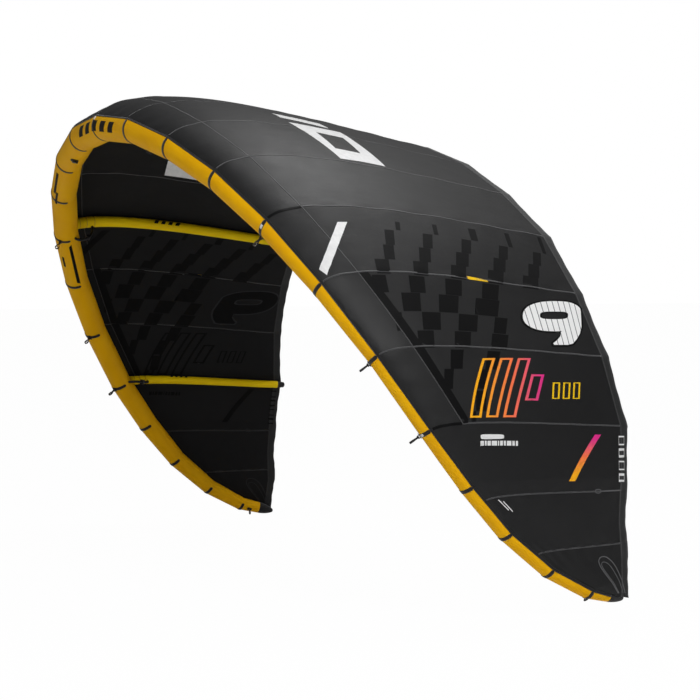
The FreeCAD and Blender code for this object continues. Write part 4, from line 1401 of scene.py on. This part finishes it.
def mark(shapes, fmap, mat, sfc=tube_skin(0.0009, -0.0006)):
    SU, LO, F = flat(shapes, fmap, 0.05, 6.0)
    A, B = sfc(SU[:, 0], SU[:, 1])
    n = len(A)
    count = {}
    for f in F:
        for a, b in zip(f, f[1:] + f[:1]):
            count[(a, b)] = 1
    faces = [tuple(f) for f in F] + [tuple(i + n for i in f[::-1]) for f in F]
    for (a, b) in count:
        if (b, a) not in count:
            faces.append((b, a, a + n, b + n))
    marks.add(np.concatenate([A, B]), faces, np.concatenate([LO, LO]) * 0.05, mat)


# four slanted black bars across the centre of the tube, two each side of the middle seam
for k in range(5):
    s0 = -0.60 + k * 0.27
    mark([([(s0, -20), (s0 + 0.15, -20), (s0 + 0.20, 22), (s0 + 0.05, 22)], [])], unit_map, 0)
# small white and black patches on the tube
for s, a, w, h, m_ in ((0.0, 34, 0.020, 9, 1), (4.0, 10, 0.016, 9, 1), (7.0, 4, 0.016, 10, 1), (-4.45, -42, 0.10, 5, 0), (4.45, -42, 0.10, 5, 0), (-2.5, -30, 0.30, 6, 0), (-2.9, -44, 0.16, 5, 0)):
    mark([([(s - w, a - h), (s + w, a - h), (s + w, a + h), (s - w, a + h)], [])], unit_map, m_, tube_skin(0.0022, -0.0006))
# black patches low on the inner side of the tube: painted shade where the canopy shadows the tube's inner side
for side in (1, -1):
    mark([([(side * 4.08, -100), (side * 4.94, -100), (side * 4.90, -84), (side * 4.12, -86)], [])], unit_map, 0)
mk = marks.build("tube_marks", [INK, WHITE])
auto_smooth(mk, 40)
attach(mk, "kite")


# ------------------------------------------------------------------ materials of the carried-over CAD pieces
def paint(node, mat):
    ob = NODES[node]
    ob.data.materials.clear()
    ob.data.materials.append(mat)


for n in NODES:
    if n.startswith(("strut_end_caps", "clamp", "inflate_valve", "deflate_valve")):
        paint(n, PLASTIC)
    elif "bladder" in n:
        paint(n, FILM)
    elif n.startswith("inflation_hoses"):
        paint(n, RUBBER)
    elif n.startswith("loop_tabs"):
        paint(n, PLASTIC)

# ------------------------------------------------------------------ floor, light and camera
LO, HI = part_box("canopy_panel_right_10")
floor_z = min(LO.z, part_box("tip_loop_right")[0].z) - 0.05


def floor_piece():
    me = bpy.data.meshes.new("floor")
    s = 60
    me.from_pydata([(-s, -s, floor_z), (s, -s, floor_z), (s, s, floor_z), (-s, s, floor_z)], [], [(0, 1, 2, 3)])
    ob = bpy.data.objects.new("floor", me)
    bpy.context.scene.collection.objects.link(ob)
    m = bpy.data.materials.new("pale_floor")
    m.use_nodes = True
    t = m.node_tree
    b = t.nodes["Principled BSDF"]
    b.inputs["Base Color"].default_value = (0.9, 0.9, 0.9, 1)
    b.inputs["Roughness"].default_value = 0.9
    b.inputs["Emission Color"].default_value = (1, 1, 1, 1)
    b.inputs["Emission Strength"].default_value = 0.0
    e = t.nodes.new("ShaderNodeEmission")
    e.inputs["Strength"].default_value = 1.0
    mix = t.nodes.new("ShaderNodeMixShader")
    lp = t.nodes.new("ShaderNodeLightPath")
    k = t.nodes.new("ShaderNodeMath")
    k.operation = "MULTIPLY"
    k.inputs[1].default_value = 0.985
    t.links.new(lp.outputs["Is Camera Ray"], k.inputs[0])
    t.links.new(k.outputs[0], mix.inputs[0])
    t.links.new(b.outputs[0], mix.inputs[1])
    t.links.new(e.outputs[0], mix.inputs[2])
    t.links.new(mix.outputs[0], t.nodes["Material Output"].inputs["Surface"])
    me.materials.append(m)


floor_piece()

world = bpy.data.worlds.new("studio")
bpy.context.scene.world = world
world.use_nodes = True
wt = world.node_tree
bg = wt.nodes["Background"]
bg.inputs["Color"].default_value = (1, 1, 1, 1)
bg.inputs["Strength"].default_value = 0.17
bg2 = wt.nodes.new("ShaderNodeBackground")
bg2.inputs["Color"].default_value = (1, 1, 1, 1)
bg2.inputs["Strength"].default_value = 1.0
wmix = wt.nodes.new("ShaderNodeMixShader")
wlp = wt.nodes.new("ShaderNodeLightPath")
wt.links.new(wlp.outputs["Is Camera Ray"], wmix.inputs[0])
wt.links.new(bg.outputs[0], wmix.inputs[1])
wt.links.new(bg2.outputs[0], wmix.inputs[2])
wt.links.new(wmix.outputs[0], wt.nodes["World Output"].inputs["Surface"])


def area(name, loc, target, size, energy, size_y=None):
    d = bpy.data.lights.new(name, "AREA")
    d.energy = energy
    d.shape = "RECTANGLE"
    d.size = size
    d.size_y = size_y or size
    o = bpy.data.objects.new(name, d)
    bpy.context.scene.collection.objects.link(o)
    o.location = loc
    o.rotation_mode = "QUATERNION"
    o.rotation_quaternion = (Vector(target) - Vector(loc)).to_track_quat("-Z", "Y")
    return o


area("key", (7.4, 0.4, 4.2), (0.9, 0.7, -0.9), 2.4, 330)
area("sheen", (-0.7, 2.9, 5.4), (1.2, 0.9, -0.3), 2.6, 190)
area("low", (5.4, -6.4, -3.2), (0.2, 0.5, -1.1), 2.4, 420)
area("strip", (4.6, -5.6, 3.9), (1.7, 0.5, -1.1), 1.6, 90)

cam_data = bpy.data.cameras.new("camera")
cam = bpy.data.objects.new("camera", cam_data)
bpy.context.scene.collection.objects.link(cam)
az, el = math.radians(65.371), math.radians(2.197)
back = Vector((math.sin(az) * math.cos(el), -math.cos(az) * math.cos(el), math.sin(el)))
cam.location = (10.8041, -3.6713, -0.6387)
cam.rotation_mode = "QUATERNION"
cam.rotation_quaternion = (-back).to_track_quat("-Z", "Y")
cam_data.sensor_width = 36.0
cam_data.lens = 2362.66 / 700 * 36.0
cam_data.clip_start, cam_data.clip_end = 0.1, 200
bpy.context.scene.camera = cam
bpy.context.scene.view_settings.view_transform = "Standard"
bpy.context.scene.view_settings.look = "None"
